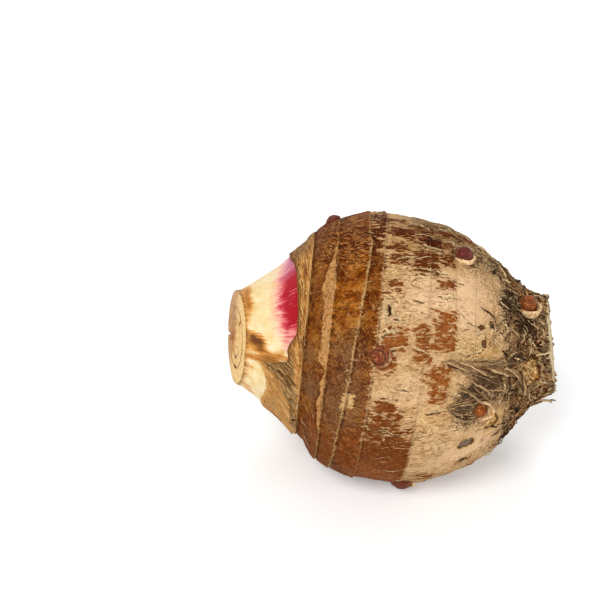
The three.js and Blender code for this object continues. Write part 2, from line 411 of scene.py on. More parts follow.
def makeStreaks():
    # noise drawn out along the corm, as its fibres are
    inputs = {"Vector": None, "Length": 6.0, "Width": 0.6, "Warp": 1.0, "Detail": 2.5}
    group, given, result = newGroup("streaks", inputs, ["Value"])
    bend = newNode("ShaderNodeTexNoise")
    feed(bend.inputs["Vector"], given["Vector"])
    feed(bend.inputs["Scale"], 0.22)
    centred = vectors("SUBTRACT", bend.outputs["Color"], (0.5, 0.5, 0.5))
    moved = vectors("ADD", given["Vector"], vectors("SCALE", centred, scale=given["Warp"]))
    split = newNode("ShaderNodeSeparateXYZ")
    feed(split.inputs[0], moved)
    joined = newNode("ShaderNodeCombineXYZ")
    for socket, value, size in zip(joined.inputs, split.outputs, ("Length", "Width", "Width")):
        feed(socket, sums("DIVIDE", value, given[size]))
    feed(result["Value"], cloud(joined.outputs[0], 1.0, detail=given["Detail"], roughness=0.6))
    return group


def makeRaggedMask():
    # a mask whose edge, where the field crosses zero, is torn as far as Reach by the grain
    inputs = {"Field": 0.0, "Grain": 0.5, "Reach": 1.0, "Soft": 0.15}
    group, given, result = newGroup("raggedMask", inputs, ["Mask"])
    field = nudged(given["Field"], given["Grain"], times(given["Reach"], 4.0))
    feed(result["Mask"], between(field, times(given["Soft"], -1.0), given["Soft"]))
    return group


def makeHairlines():
    # thin wandering lines, where drawn-out noise crosses its middle, and a lip along one side of them
    inputs = {"Vector": None, "Length": 8.0, "Width": 1.5, "Warp": 2.0, "Line": 0.02, "Detail": 1.0}
    group, given, result = newGroup("hairlines", inputs, ["Line", "Lip"])
    shape = {name: given[name] for name in ("Vector", "Length", "Width", "Warp", "Detail")}
    away = minus(useGroup(streaks, **shape)[0], 0.5)
    line = between(unsigned(away), 0.0, given["Line"], 1.0, 0.0)
    feed(result["Line"], line)
    aside = minus(away, times(given["Line"], 2.2))
    feed(result["Lip"], between(unsigned(aside), 0.0, times(given["Line"], 1.6), 1.0, 0.0))
    return group


def makeSpecks():
    # small round dots, one in a share of the cells
    inputs = {"Vector": None, "Cell": 1.5, "Amount": 0.3, "Radius": 0.25}
    group, given, result = newGroup("specks", inputs, ["Mask"])
    cells = newNode("ShaderNodeTexVoronoi")
    feed(cells.inputs["Vector"], given["Vector"])
    feed(cells.inputs["Scale"], sums("DIVIDE", 1.0, given["Cell"]))
    split = newNode("ShaderNodeSeparateColor")
    feed(split.inputs[0], cells.outputs["Color"])
    chosen = sums("LESS_THAN", split.outputs[0], given["Amount"])
    size = times(given["Radius"], between(split.outputs[1], 0.0, 1.0, 0.4, 1.2, smooth=False))
    inside = between(cells.outputs["Distance"], times(size, 0.6), size, 1.0, 0.0)
    feed(result["Mask"], times(inside, chosen))
    return group


streaks = makeStreaks()
raggedMask = makeRaggedMask()
hairlines = makeHairlines()
specks = makeSpecks()


def streaked(vector, length, width, warp, detail=2.5):
    return useGroup(streaks, Vector=vector, Length=length, Width=width, Warp=warp, Detail=detail)[0]


def specked(vector, cell, amount, radius):
    return useGroup(specks, Vector=vector, Cell=cell, Amount=amount, Radius=radius)[0]


def startMaterial(name, roughness=0.75, specular=0.1):
    material = bpy.data.materials.new(name)
    material.use_nodes = True
    building["tree"] = material.node_tree
    shader = material.node_tree.nodes["Principled BSDF"]
    shader.inputs["Roughness"].default_value = roughness
    shader.inputs["Specular IOR Level"].default_value = specular
    return material, shader


def bump(shader, height, distance, strength=1.0):
    # distance is in mm
    node = newNode("ShaderNodeBump")
    node.inputs["Strength"].default_value = strength
    node.inputs["Distance"].default_value = distance * mm
    feed(node.inputs["Height"], height)
    feed(shader.inputs["Normal"], node.outputs[0])


def settle(piece, material, slot, *nodes):
    # gives a finished piece its material and its place in the frame
    piece.data.materials.clear()
    piece.data.materials.append(material)
    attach(piece, "root")
    if nodes:
        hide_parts(*nodes)


corm = {
    "segments": 356,
    "skinRows": 254,
    "cutRows": 20,
    "lumps": 0.4,            # mm of slow unevenness
    "huskEnd": -8.9,         # the ring where the old husk gives way to peeled skin
    "neckFrom": 29.0,        # where the skin turns rough towards the neck
    "neckRough": 0.8,
}
# scraps of old husk left on the peeled skin: x, turn, half length, half width, how rusty (0 dark, 1 orange)
scraps = [
    (1.4, 88.0, 4.3, 2.7, 0.1), (-0.1, 76.8, 3.1, 1.7, 0.2), (0.3, 70.2, 2.2, 1.9, 0.35), (8.5, 69.3, 3.6, 4.4, 0.2),
    (8.7, 87.0, 1.9, 1.8, 0.0), (10.7, 82.3, 3.2, 2.7, 0.0), (15.3, 73.0, 2.0, 2.4, 0.25), (15.5, 82.6, 1.4, 1.4, 0.15),
    (8.7, 95.0, 3.2, 2.4, 0.1), (-0.5, 99.0, 3.5, 1.8, 0.15), (17.0, 93.0, 4.5, 1.1, 0.1), (4.2, 82.4, 1.4, 0.8, 0.3),
    (-2.0, 56.7, 2.3, 1.4, 0.5), (14.6, 58.8, 2.4, 1.3, 0.6), (-2.1, 35.4, 3.2, 2.9, 0.9), (6.1, 36.1, 2.2, 3.4, 0.8),
    (13.1, 38.5, 3.2, 5.6, 0.9), (-6.1, 7.7, 3.5, 1.6, 0.5), (-5.2, -0.7, 4.6, 3.8, 0.45), (6.1, 28.2, 2.2, 1.5, 0.9),
    (13.2, 21.0, 1.5, 1.9, 0.9), (11.6, 13.9, 2.0, 3.7, 0.9), (-5.0, 24.8, 2.1, 1.9, 0.8), (9.5, 20.5, 0.9, 1.5, 0.9),
    (22.0, -33.0, 1.3, 0.9, 0.5), (9.6, -42.0, 1.6, 2.4, 0.6),
]
# splits where the outer skin dried and opened: from x, turn to x, turn, and how far it gapes
splits = [
    (-7.8, 34.8, -1.6, 40.2, 0.3), (-7.1, 30.2, 1.4, 31.7, 0.35), (1.4, 31.7, 8.3, 28.5, 0.25),
    (15.4, 62.0, 20.6, 61.0, 0.25), (2.1, 64.3, 16.8, 64.6, 0.2), (5.9, 79.0, 16.2, 77.8, 0.25),
    (9.3, 52.5, 21.6, 53.1, 0.2), (2.3, 50.8, 7.3, 49.5, 0.25), (-6.4, 17.1, 3.2, 14.2, 0.3),
    (5.9, 3.6, 18.0, 4.7, 0.3), (-4.0, 43.4, 2.1, 41.9, 0.3), (-2.5, 67.9, 5.5, 71.4, 0.2),
    (2.1, 98.9, 13.1, 90.8, 0.3), (-9.0, -3.5, 3.0, -7.0, 0.25), (16.5, 27.0, 27.0, 31.0, 0.25),
    (3.0, -9.0, 12.0, -6.0, 0.2), (19.0, 44.0, 27.0, 39.5, 0.25), (14.0, 87.0, 24.0, 85.0, 0.3),
]
# round marks: x, turn, half length, half width, kind (0 golden root scar, 0.5 grey pit, 1 black pit)
marks = [
    (43.0, 9.0, 3.8, 6.4, 0.0), (29.3, -10.5, 2.3, 3.2, 0.1), (21.2, -18.0, 2.9, 1.9, 0.5), (20.8, -32.0, 1.7, 1.3, 1.0),
    (25.6, 33.6, 1.1, 1.3, 0.7), (28.5, 43.7, 1.0, 1.2, 0.6), (35.6, 22.5, 2.1, 1.7, 0.6), (25.0, 41.4, 1.2, 0.9, 0.75),
]
# soft spots: x, turn, size, strength. The first are grime, and painted shade standing for the shade in the hollow
# beside the neck bud and above the open bud
grimeSpots = [
    (35.4, 63.5, 3.4, 1.7), (37.5, 70, 3.0, 1.3), (33.5, 57, 2.4, 0.9), (38.2, 58.5, 3.0, 1.5), (42, 56, 2.6, 1.2),
    (39.5, 50, 3.6, 0.8), (45, 62, 3.4, 0.9), (29, 84, 3.5, 0.5), (35, 90, 4.5, 0.6), (24, 18.5, 2.6, 0.5),
    (30, 11, 4.5, 0.8), (21, 9, 3, 0.6), (21.0, 11.0, 3.2, 1.3), (17.5, 5.5, 2.2, 0.9), (20.6, 4.2, 2.3, 1.6),
    (21.5, -5.6, 2.2, 0.8), (26, 15, 3.4, 1.0), (31, 17, 3.0, 0.7),
    (19.5, -2, 2.6, 0.8), (28, -7, 2.6, 0.7), (34, 3, 4, 0.6), (38, 27, 4, 0.5), (44, 42, 4, 0.9),
    (48, 22, 3, 0.8), (47, -8, 4, 0.6), (17.2, 77, 1.8, 0.8), (24.6, 75, 2.6, 0.7), (10.5, 84, 2.4, 1.0),
    (28.5, 35, 3, 0.5), (33, 46, 3.2, 0.95), (30, 41, 2.2, 0.5), (24, -44, 3, 0.4), (17, -46, 2.6, 0.4),
    (30, -38, 3, 0.5),
]
warmSpots = [
    (14, 54, 9, 1.0), (23, 60, 7, 0.8), (5, 50, 6, 0.6), (20, -24, 8, 0.9), (27, -22, 6, 0.9), (11, -30, 6, 0.5),
    (4, 12, 5, 0.6), (19, 46, 6, 0.7), (2, 120, 12, 0.8), (19, 150, 11, 0.9), (6, 190, 13, 0.7), (22, 225, 10, 0.9),
    (4, 262, 12, 0.8),
]
ochreSpots = [
    (27.5, 27, 4.6, 0.9), (22, 30, 4, 0.6), (2, 79, 5, 0.8), (12, 76, 5, 0.4), (30.6, -13, 4, 1.2), (6, 2, 6, 0.5),
    (20, 82, 7, 0.5), (-2, 62, 4, 0.6), (12, 100, 8, 0.6), (26, 120, 8, 0.6), (14, 175, 8, 0.5), (28, 190, 7, 0.6),
]
filmSpots = [
    (-17, 30, 6, 0.9), (-18, 14, 7, 1.0), (-20, 0, 6, 1.0), (-28.5, 12, 4, 1.0), (-29.5, 28, 3.5, 0.7),
    (-27.5, 60, 4, 0.4), (-27, -18, 4, 0.8), (-29, 84, 4, 0.6), (-16, 140, 10, 0.7),
    (-25, 175, 6, 0.7), (-15, 215, 9, 0.8), (-26, 240, 6, 0.7), (-18, 280, 9, 0.6),
]


def turnFrom(turn, degrees):
    # how far round a place lies from a turn, in radians, the short way
    return np.mod(turn - math.radians(degrees) + math.pi, 2 * math.pi) - math.pi


def spread(x, turn, radius, spots):
    total = np.zeros(len(x))
    for px, degrees, size, strength in spots:
        across = turnFrom(turn, degrees) * radius
        total += strength * np.exp(-((x - px) ** 2 + across ** 2) / size ** 2)
    return np.minimum(total, 1.2)


def layOutSkin(piece):
    # moves a plain sphere's vertices on to rows along the corm, and returns where each one lies
    coords = readCoords(piece)
    coords /= np.linalg.norm(coords, axis=1)[:, None]
    levels = corm["skinRows"] + corm["cutRows"]
    level = np.rint(np.arccos(np.clip(coords[:, 2], -1, 1)) / math.pi * levels).astype(int)
    turn = np.arctan2(coords[:, 1], coords[:, 0])
    fine = np.linspace(form["bluntEnd"] + 0.4, form["neckRim"], 1200)
    radius = np.interp(fine, outlineX, outlineParts[0])
    arc = np.concatenate([[0], np.cumsum(np.hypot(np.diff(fine), np.diff(radius)))])
    rowTable = np.interp(np.linspace(0, arc[-1], corm["skinRows"]), arc, fine)
    for x in ringX[1:]:   # a close pair of rows at each ring, so that its step is crisp
        nearest = np.argmin(np.abs(rowTable - x))
        rowTable[nearest] = x - 0.06
        rowTable[nearest + 1] = x + 0.2
    row = rowTable[np.clip(level - 1, 0, corm["skinRows"] - 1)]
    along = np.interp(row, fine, arc)
    cut = np.clip((level - corm["skinRows"]) / corm["cutRows"], 0, 1)
    x, radius = onRow(row, turn)
    radius = np.where(level == 0, 0, radius)
    rim = place(x, turn, radius)
    middle = np.array([form["neckRim"] + xZero, 0, form["axisHeight"]])
    coords = rim + (middle - rim) * cut[:, None]
    coords[level == levels] = middle
    return coords, row, turn, x, radius, cut, along


def bendRings(row, turn):
    # on top the third ring lies nearer the stalks than its lean says, and the end of the husk nearer the neck
    onTop = smoothStep(72, 98, np.degrees(turn)) * smoothStep(150, 120, np.degrees(turn))
    return row + onTop * np.interp(row, [-20, -15.5, -11.5, -8.6, -4], [0, 1.3, 0, -0.6, 0])


def huskStep(row):
    # how far an old leaf base stands off the skin: most at the ring on its neck side
    height = np.zeros(len(row))
    for before, after in zip(rings, rings[1:]):
        share = (row - before["x"]) / (after["x"] - before["x"])
        inside = (share > 0) & (share <= 1)
        height[inside] = after["drop"] * share[inside] ** 2
    return height


def nearestRing(row):
    # signed mm from the nearest ring, and how plainly that ring shows
    gap = row[:, None] - ringX[None, :]
    nearest = np.argmin(np.abs(gap), axis=1)
    show = np.array([ring["show"] for ring in rings])[nearest]
    return gap[np.arange(len(row)), nearest], show


def hiddenScraps():
    # the side that faces away has the same kind of scraps, in rows between the rings
    draw = random.Random(4)
    made = []
    for degrees in range(102, 322, 11):
        for x in (-3.5, 2.5, 9.5, 17.0, 24.0):
            if draw.random() < 0.5:
                size = draw.uniform(1.2, 3.2)
                spot = (x + draw.uniform(-1.5, 1.5), degrees + draw.uniform(-5, 5))
                made.append((*spot, size, draw.uniform(1, 3.6), draw.random()))
    return made


def hiddenMarks():
    draw = random.Random(11)
    made = []
    for degrees in range(112, 330, 24):
        spot = (draw.uniform(16, 44), degrees + draw.uniform(-8, 8))
        made.append((*spot, draw.uniform(1, 2.4), draw.uniform(1, 3), draw.choice([0.0, 0.5, 0.7, 1.0])))
    return made


def scrapField(row, turn, radius):
    # mm inside the nearest scrap of husk, negative outside, and how rusty it is
    field = np.full(len(row), -20.0)
    rust = np.full(len(row), 0.5)
    for px, degrees, halfLength, halfWidth, tone in scraps + hiddenScraps():
        middle = float(rowOf(np.array([px]), np.array([math.radians(degrees)]))[0])
        across = np.abs(turnFrom(turn, degrees)) * radius
        neckSide = 1.5 * (halfLength - (row - middle))   # straighter along a ring than elsewhere
        stalkSide = 0.6 * (halfLength + 0.5 + row - middle)
        inside = np.minimum(np.minimum(neckSide, stalkSide), halfWidth + 0.2 - across)
        nearer = inside > field
        field[nearer] = inside[nearer]
        rust[nearer] = tone
    return np.minimum(field, 1.35 - 0.95 * rust), rust


def hiddenSplits():
    draw = random.Random(23)
    made = []
    for degrees in range(106, 326, 13):
        x, length = draw.uniform(-8, 22), draw.uniform(5, 13)
        turns = [degrees + draw.uniform(-4, 4) for _ in range(2)]
        made.append((x, turns[0], x + length, turns[1], draw.uniform(0.2, 0.35)))
    return made


def splitField(points, x, turn, radius):
    # signed mm across the nearest split, how far it gapes there, and how deep inside it a place is
    across = np.full(len(x), 9.0)
    gape = np.full(len(x), -2.0)
    inside = np.full(len(x), -9.0)
    waver = 0.7 * noiseAt(points, 2.6, 16, 2)
    for fromX, fromTurn, toX, toTurn, wide in splits + hiddenSplits():
        run, rise = toX - fromX, math.radians(toTurn - fromTurn) * radius
        along, up = x - fromX, turnFrom(turn, fromTurn) * radius
        length = np.hypot(run, rise)
        share = (along * run + up * rise) / length ** 2
        signed = (up * run - along * rise) / length + waver
        opened = (wide + 0.8) * smoothStep(0, 0.16, share) * smoothStep(1, 0.84, share) - 0.9
        field = opened - np.abs(signed)
        nearer = field > inside
        across[nearer], gape[nearer], inside[nearer] = signed[nearer], opened[nearer], field[nearer]
    return across, gape, inside


def markField(x, turn, radius):
    # 0 at the middle of the nearest round mark and 1 at its rim, with its kind and its size
    field = np.full(len(x), 4.0)
    kind = np.zeros(len(x))
    for px, degrees, halfLength, halfWidth, sort in marks + hiddenMarks():
        across = turnFrom(turn, degrees) * radius
        away = np.hypot((x - px) / halfLength, across / halfWidth)
        nearer = away < field
        field[nearer] = away[nearer]
        kind[nearer] = sort
    return field, kind


def peelField(row, turn):
    # mm inside the strip where husk came away beside the second ring
    degrees = np.degrees(turn) % 360
    signed = turnFrom(turn, 0) * perRadian
    wide = 3.2 * smoothStep(38, 46, degrees) * smoothStep(79, 66, degrees) + 0.5 * np.sin(degrees * 0.35)
    wide = np.maximum(wide * (degrees < 90), 2.6 * smoothStep(22, 26, signed) * smoothStep(46, 40, signed))
    wide += 1.5 * smoothStep(-14, -6, signed) * smoothStep(21, 18, signed)
    wide += 2.6 * smoothStep(118, 130, degrees) * smoothStep(215, 180, degrees)
    wide += 2.0 * smoothStep(240, 250, degrees) * smoothStep(305, 290, degrees)
    edge = -23.0
    return np.minimum(row - (edge - wide), 1.5 * (edge - 0.1 - row)) - 2 * (wide < 0.3)


def makeCorm():
    clearSelection()
    bpy.ops.mesh.primitive_uv_sphere_add(
        segments=corm["segments"], ring_count=corm["skinRows"] + corm["cutRows"], radius=1)
    piece = bpy.context.object
    piece.name = "cormSkin"
    points, row, turn, x, radius, cut, along = layOutSkin(piece)
    writeCoords(piece, points * mm)
    outwards = readNormals(piece)
    row = bendRings(row, turn)
    skin = cut <= 0
    degrees = np.degrees(turn) % 360
    toNeck = smoothStep(corm["neckFrom"], corm["neckFrom"] + 14, x)
    top = np.exp(-((degrees - 98) / 22) ** 2)    # the ridge that faces up is browner and more wrinkled

    scrap, rust = scrapField(row, turn, radius)
    huskEdge = corm["huskEnd"] - row
    lastBand = np.minimum(1.6 * huskEdge, 3.0 - 1.5 * top)
    cover = np.where(row < -15, 6.0, np.maximum(lastBand, scrap))
    front = turnFrom(turn, 0) * perRadian
    belly = np.minimum(2.2 * (6.2 - row), row + 12)
    belly = np.minimum(belly, 0.16 * (-5 - front)) + 0.05 * np.minimum(0, turnFrom(turn, -38) * perRadian)
    cover = np.where(row >= -15, np.maximum(cover, np.minimum(belly, 1.8)), cover)
    mark, kind = markField(x, turn, radius)
    split, gape, opened = splitField(points, x, turn, radius)
    peel = peelField(row, turn)
    ring, show = nearestRing(row)

    fibre = noiseAt(points, [5.0, 0.9, 0.9], 2, 2)
    lift = corm["lumps"] * noiseAt(points, 17, 1, 2)
    lift += huskStep(row)
    lift -= 0.25 * np.exp(-((ring - 0.6) / 0.4) ** 2) * show
    lift += 0.1 * fibre + 0.07 * noiseAt(points, 1.4, 4, 2)
    tattered = np.minimum(cover, 2) + 1.6 * noiseAt(points, [2.5, 0.7, 0.7], 5)
    lift += 0.2 * smoothStep(-0.4, 0.4, tattered) * (row > -14.8)
    lift -= 0.35 * smoothStep(-0.3, 0.3, peel + 0.6 * noiseAt(points, 1.6, 6))
    wrinkle = noiseAt(points, [11.0, 2.4, 2.4], 7, 2)
    lift += top * smoothStep(-2, 6, row) * 0.6 * wrinkle
    bark = smoothStep(-8, -2, row)
    crack = np.exp(-(wrinkle / 0.06) ** 2) * bark * smoothStep(-0.1, 0.3, noiseAt(points, 12, 8) + 0.4 * top)
    lift += 0.12 * np.exp(-((wrinkle - 0.12) / 0.07) ** 2) * bark
    lift -= 0.3 * crack
    lift -= 0.4 * smoothStep(-0.2, 0.25, opened)
    lift += 0.25 * np.exp(-((split - 0.75) / 0.35) ** 2) * smoothStep(-0.3, 0.1, gape)
    lift += 0.25 * np.exp(-((mark - 1.05) / 0.16) ** 2) - (0.35 + 0.25 * kind) * smoothStep(1, 0.7, mark)
    rough = noiseAt(points, 4.0, 9, 3)
    folds = np.abs(noiseAt(points, [1.3, 3.0, 3.0], 10, 2))
    shreds = np.abs(noiseAt(points, [4.0, 1.2, 1.2], 12, 3))
    knots = np.maximum(0, noiseAt(points, 1.8, 15, 2) - 0.15)
    lift += toNeck * corm["neckRough"] * (0.8 * rough - 1.3 * folds - 1.5 * shreds + 1.3 * knots + 0.55)
    nearRim = smoothStep(form["neckRim"] - 3, form["neckRim"], row)
    lift += nearRim * 0.5 * noiseAt(points, 1.3, 13, 2)
    lift = np.where(skin, lift, 0)

    moved = points + outwards * lift[:, None]
    face = np.array([1, -form["neckLean"][0], -form["neckLean"][1]]) / math.hypot(1, *form["neckLean"])
    ragged = nearRim * 0.55 * noiseAt(ringOf(turn, 18), 1.6, 14, 2)
    dish = -0.7 * smoothStep(0, 0.35, cut) + 0.1 * noiseAt(points, [1.0, 2.2, 0.8], 11, 2)
    moved = moved + np.outer(np.where(skin, ragged, ragged * smoothStep(0.06, 0, cut) + dish), face)
    moved[:, 2] = np.maximum(moved[:, 2], 0.02)
    writeCoords(piece, moved * mm)
    smoothUpTo(70)

    draw = random.Random(8)
    hiddenGrime = [(draw.uniform(30, 46), degrees, draw.uniform(2.5, 5), draw.uniform(0.3, 0.9))
                   for degrees in range(104, 320, 12)]
    paint(
        piece, cover=cover, rust=rust, fromRing=ring, ringShow=show, row=row, toNeck=toNeck, top=top, split=split,
        gape=gape, under=smoothStep(4, -12, front), cut=cut, peel=peel, mark=mark, markKind=kind, rim=nearRim,
        grime=spread(x, turn, radius, grimeSpots + hiddenGrime), warm=spread(x, turn, radius, warmSpots),
        ochre=spread(x, turn, radius, ochreSpots), film=spread(x, turn, radius, filmSpots),
        yellow=np.minimum(1.9 - np.abs(x + 17.0), 2.3 - np.abs(turnFrom(turn, 9.2)) * radius),
        wrap=np.stack([along, points[:, 1], points[:, 2]], axis=1))
    for name, pitch in (("twistLeft", 1 / 42), ("twistRight", -1 / 42)):
        angle = along * pitch
        y, z = points[:, 1], points[:, 2] - form["axisHeight"]
        twisted = [along, y * np.cos(angle) - z * np.sin(angle), y * np.sin(angle) + z * np.cos(angle)]
        paint(piece, **{name: np.stack(twisted, axis=1)})
    return piece


def cormMaterial():
    material, shader = startMaterial("cormSkin", roughness=0.7, specular=0.02)
    wrap = painted("wrap", "Vector")
    left = painted("twistLeft", "Vector")
    right = painted("twistRight", "Vector")
    fibre = streaked(wrap, 4.5, 0.6, 3.0)
    dash = streaked(wrap, 1.7, 0.5, 2.0)
    broad = streaked(wrap, 9.0, 1.8, 4.0)
    scratchLeft = streaked(left, 2.6, 0.4, 3.0)
    scratchRight = streaked(right, 2.2, 0.36, 3.0)
    tatter = streaked(wrap, 3.2, 0.8, 1.5, 3.5)
    curly = streaked(wrap, 2.2, 0.6, 9.0, 3.0)
    fine = cloud(wrap, 0.4, detail=3.0, roughness=0.65)
    grit = cloud(wrap, 1.3, detail=4.0, roughness=0.7)
    patchy = cloud(wrap, 6.0, detail=4.0, roughness=0.65)
    zones = cloud(wrap, 15.0, detail=2.0)
    cracks = useGroup(hairlines, Vector=wrap, Length=15.0, Width=2.2, Warp=4.0, Line=0.011, Detail=1.5)
    net = useGroup(hairlines, Vector=left, Length=3.0, Width=1.5, Warp=4.0, Line=0.03, Detail=2.0)
    pins = specked(wrap, 1.7, 0.26, 0.26)
    row = painted("row")
    top = painted("top")

    # peeled skin
    tan = ramp(patchy, [
        (0.3, 168, 128, 80), (0.44, 200, 160, 112), (0.58, 214, 176, 130), (0.72, 198, 172, 134)])
    tan = over(tan, times(painted("warm"), 0.75), (230, 190, 148))
    tan = over(tan, times(painted("ochre"), 0.6), (208, 162, 88))
    calm = between(painted("warm"), 0.2, 1.0, 1.0, 0.35)
    rough = times(between(zones, 0.4, 0.6, 0.65, 1.0), calm)
    tan = over(tan, times(between(scratchLeft, 0.54, 0.62, 0.0, 0.5), rough), (126, 82, 42))
    tan = over(tan, between(scratchRight, 0.55, 0.64, 0.0, 0.45), (240, 208, 156))
    tan = layers(tan, [
        (fibre, 0.4, 0.34, 0.0, 0.75, (236, 206, 152)),
        (fibre, 0.56, 0.62, 0.0, 0.75, (138, 92, 46)),
        (dash, 0.58, 0.65, 0.0, 0.65, (124, 76, 34)),
        (grit, 0.56, 0.64, 0.0, 0.6, (136, 86, 40))], rough)
    aged = times(between(top, 0.05, 0.75), between(row, -6.0, 5.0))
    tan = layers(tan, [
        (broad, 0.46, 0.56, 0.95, 0.35, (92, 64, 40)),
        (fibre, 0.46, 0.4, 0.0, 0.8, (206, 178, 130)),
        (dash, 0.54, 0.6, 0.0, 0.85, (52, 34, 20))], aged)
    tan = over(tan, pins, (118, 68, 34))

    # husk and its scraps
    husk = ramp(patchy, [
        (0.36, 74, 26, 0), (0.44, 116, 54, 6), (0.53, 158, 88, 20), (0.62, 180, 118, 48)])
    husk = layers(husk, [
        (broad, 0.52, 0.62, 0.0, 0.6, (82, 34, 4)),
        (broad, 0.44, 0.36, 0.0, 0.4, (184, 116, 44))])
    lastBand = times(between(row, -15.1, -14.9), between(top, 0.0, 0.8, 0.3, 0.85))
    husk = over(husk, lastBand, (84, 34, 10))
    upper = times(between(top, 0.05, 0.7, 0.0, 0.5), between(row, -30.8, -30.2))
    husk = over(husk, upper, (100, 44, 6))
    film = times(painted("film"), between(patchy, 0.35, 0.55, 0.4, 0.9))
    husk = over(husk, film, (122, 88, 60))
    below = blend(between(patchy, 0.42, 0.56), (148, 78, 32), (92, 34, 6))
    husk = over(husk, times(painted("under"), 0.6), below)
    crusted = times(between(top, 0.03, 0.35), between(row, -31.0, -27.0))
    husk = layers(husk, [
        (grit, 0.44, 0.52, 0.1, 0.9, (84, 26, 0)),
        (broad, 0.5, 0.56, 0.0, 0.9, (62, 14, 0)),
        (tatter, 0.46, 0.41, 0.0, 0.75, (198, 126, 62)),
        (scratchRight, 0.56, 0.61, 0.0, 0.7, (208, 154, 96))], crusted)
    husk = layers(husk, [
        (scratchLeft, 0.53, 0.61, 0.0, 0.7, (64, 22, 0)),
        (fibre, 0.54, 0.62, 0.0, 0.7, (60, 24, 4)),
        (curly, 0.58, 0.66, 0.0, 0.4, (72, 32, 6)),
        (scratchRight, 0.58, 0.64, 0.0, 0.6, (198, 136, 72))])
    yellow = useGroup(raggedMask, Field=painted("yellow"), Grain=tatter, Reach=1.2, Soft=0.2)[0]
    husk = over(husk, yellow, blend(between(fine, 0.45, 0.55), (190, 146, 88), (214, 178, 122)))
    netted = times(between(row, -15.0, -14.6), between(top, 0.03, 0.4, 0.0, 1.0))
    husk = layers(husk, [
        (broad, 0.445, 0.42, 0.0, 0.95, (208, 166, 114)),
        (broad, 0.48, 0.54, 0.0, 0.85, (66, 18, 2))], netted)
    pale = useGroup(hairlines, Vector=right, Length=16.0, Width=4.0, Warp=9.0, Line=0.006, Detail=1.0)[0]
    husk = over(husk, times(pale, 0.6), (196, 152, 100))

    scrap = blend(painted("rust"), (72, 14, 0), (158, 92, 40))
    scrap = layers(scrap, [
        (curly, 0.48, 0.58, 0.0, 0.85, blend(painted("rust"), (44, 12, 2), (128, 62, 20))),
        (fine, 0.5, 0.58, 0.0, 0.5, (72, 26, 6)),
        (dash, 0.44, 0.38, 0.0, 0.4, (190, 126, 70))])
    brown = blend(between(row, corm["huskEnd"], corm["huskEnd"] + 0.6), husk, scrap)
    grain = plus(times(tatter, 0.75), times(broad, 0.25))
    cover = useGroup(raggedMask, Field=painted("cover"), Grain=grain, Reach=3.6, Soft=0.12)[0]
    stained = useGroup(raggedMask, Field=plus(painted("cover"), 1.3), Grain=curly, Reach=2.6, Soft=0.9)[0]
    tan = over(tan, times(stained, 0.28), (166, 106, 52))
    colour = blend(cover, tan, brown)

    # the strip beside the second ring, the rings, the cracks
    peel = useGroup(raggedMask, Field=painted("peel"), Grain=patchy, Reach=0.7, Soft=0.12)[0]
    bare = ramp(grit, [(0.4, 146, 94, 44), (0.46, 184, 130, 74), (0.6, 206, 154, 98)])
    bare = over(bare, between(curly, 0.56, 0.64, 0.0, 0.7), (110, 64, 28))
    colour = over(colour, between(unsigned(painted("peel")), 0.1, 0.5, 0.6, 0.0), (84, 44, 14))
    colour = over(colour, peel, bare)
    gap = painted("fromRing")
    show = painted("ringShow")
    wander = swing(cloud(wrap, 5.0, detail=1.0), 1.0)
    shifted = plus(gap, wander)
    away = unsigned(minus(gap, 0.5))
    shadow = times(between(away, 0.1, 0.6, 0.7, 0.0), times(show, between(broad, 0.4, 0.55)))
    colour = over(colour, shadow, (62, 28, 8))
    fringe = between(unsigned(plus(row, 15.0)), 2.0, 3.0, 0.2, 0.0)
    halfWide = times(plus(0.1, fringe), between(top, 0.2, 0.8, 1.0, 0.3))
    lineField = minus(halfWide, unsigned(plus(shifted, fringe)))
    line = useGroup(raggedMask, Field=lineField, Grain=curly, Reach=plus(halfWide, 0.2), Soft=0.1)[0]
    line = times(times(line, show), between(dash, 0.4, 0.55, 0.3, 0.9))
    colour = over(colour, line, (200, 158, 102))
    onTan = times(between(row, -13.0, -9.0), between(zones, 0.46, 0.56, 0.1, 0.8))
    onTan = times(onTan, between(cover, 0.0, 1.0, 1.0, 0.12))
    colour = over(colour, times(cracks[1], times(onTan, 0.7)), (232, 204, 150))
    colour = over(colour, times(cracks[0], times(onTan, 0.85)), (88, 56, 28))
    apart = nudged(painted("split"), dash, 1.6)
    gape = nudged(painted("gape"), grit, 1.6)
    lipField = minus(plus(gape, 0.12), unsigned(minus(apart, 0.45)))
    colour = over(colour, between(lipField, -0.05, 0.15, 0.0, 0.65), (232, 204, 152))
    slit = between(minus(gape, unsigned(apart)), -0.08, 0.1)
    colour = over(colour, times(slit, 0.85), (88, 56, 30))
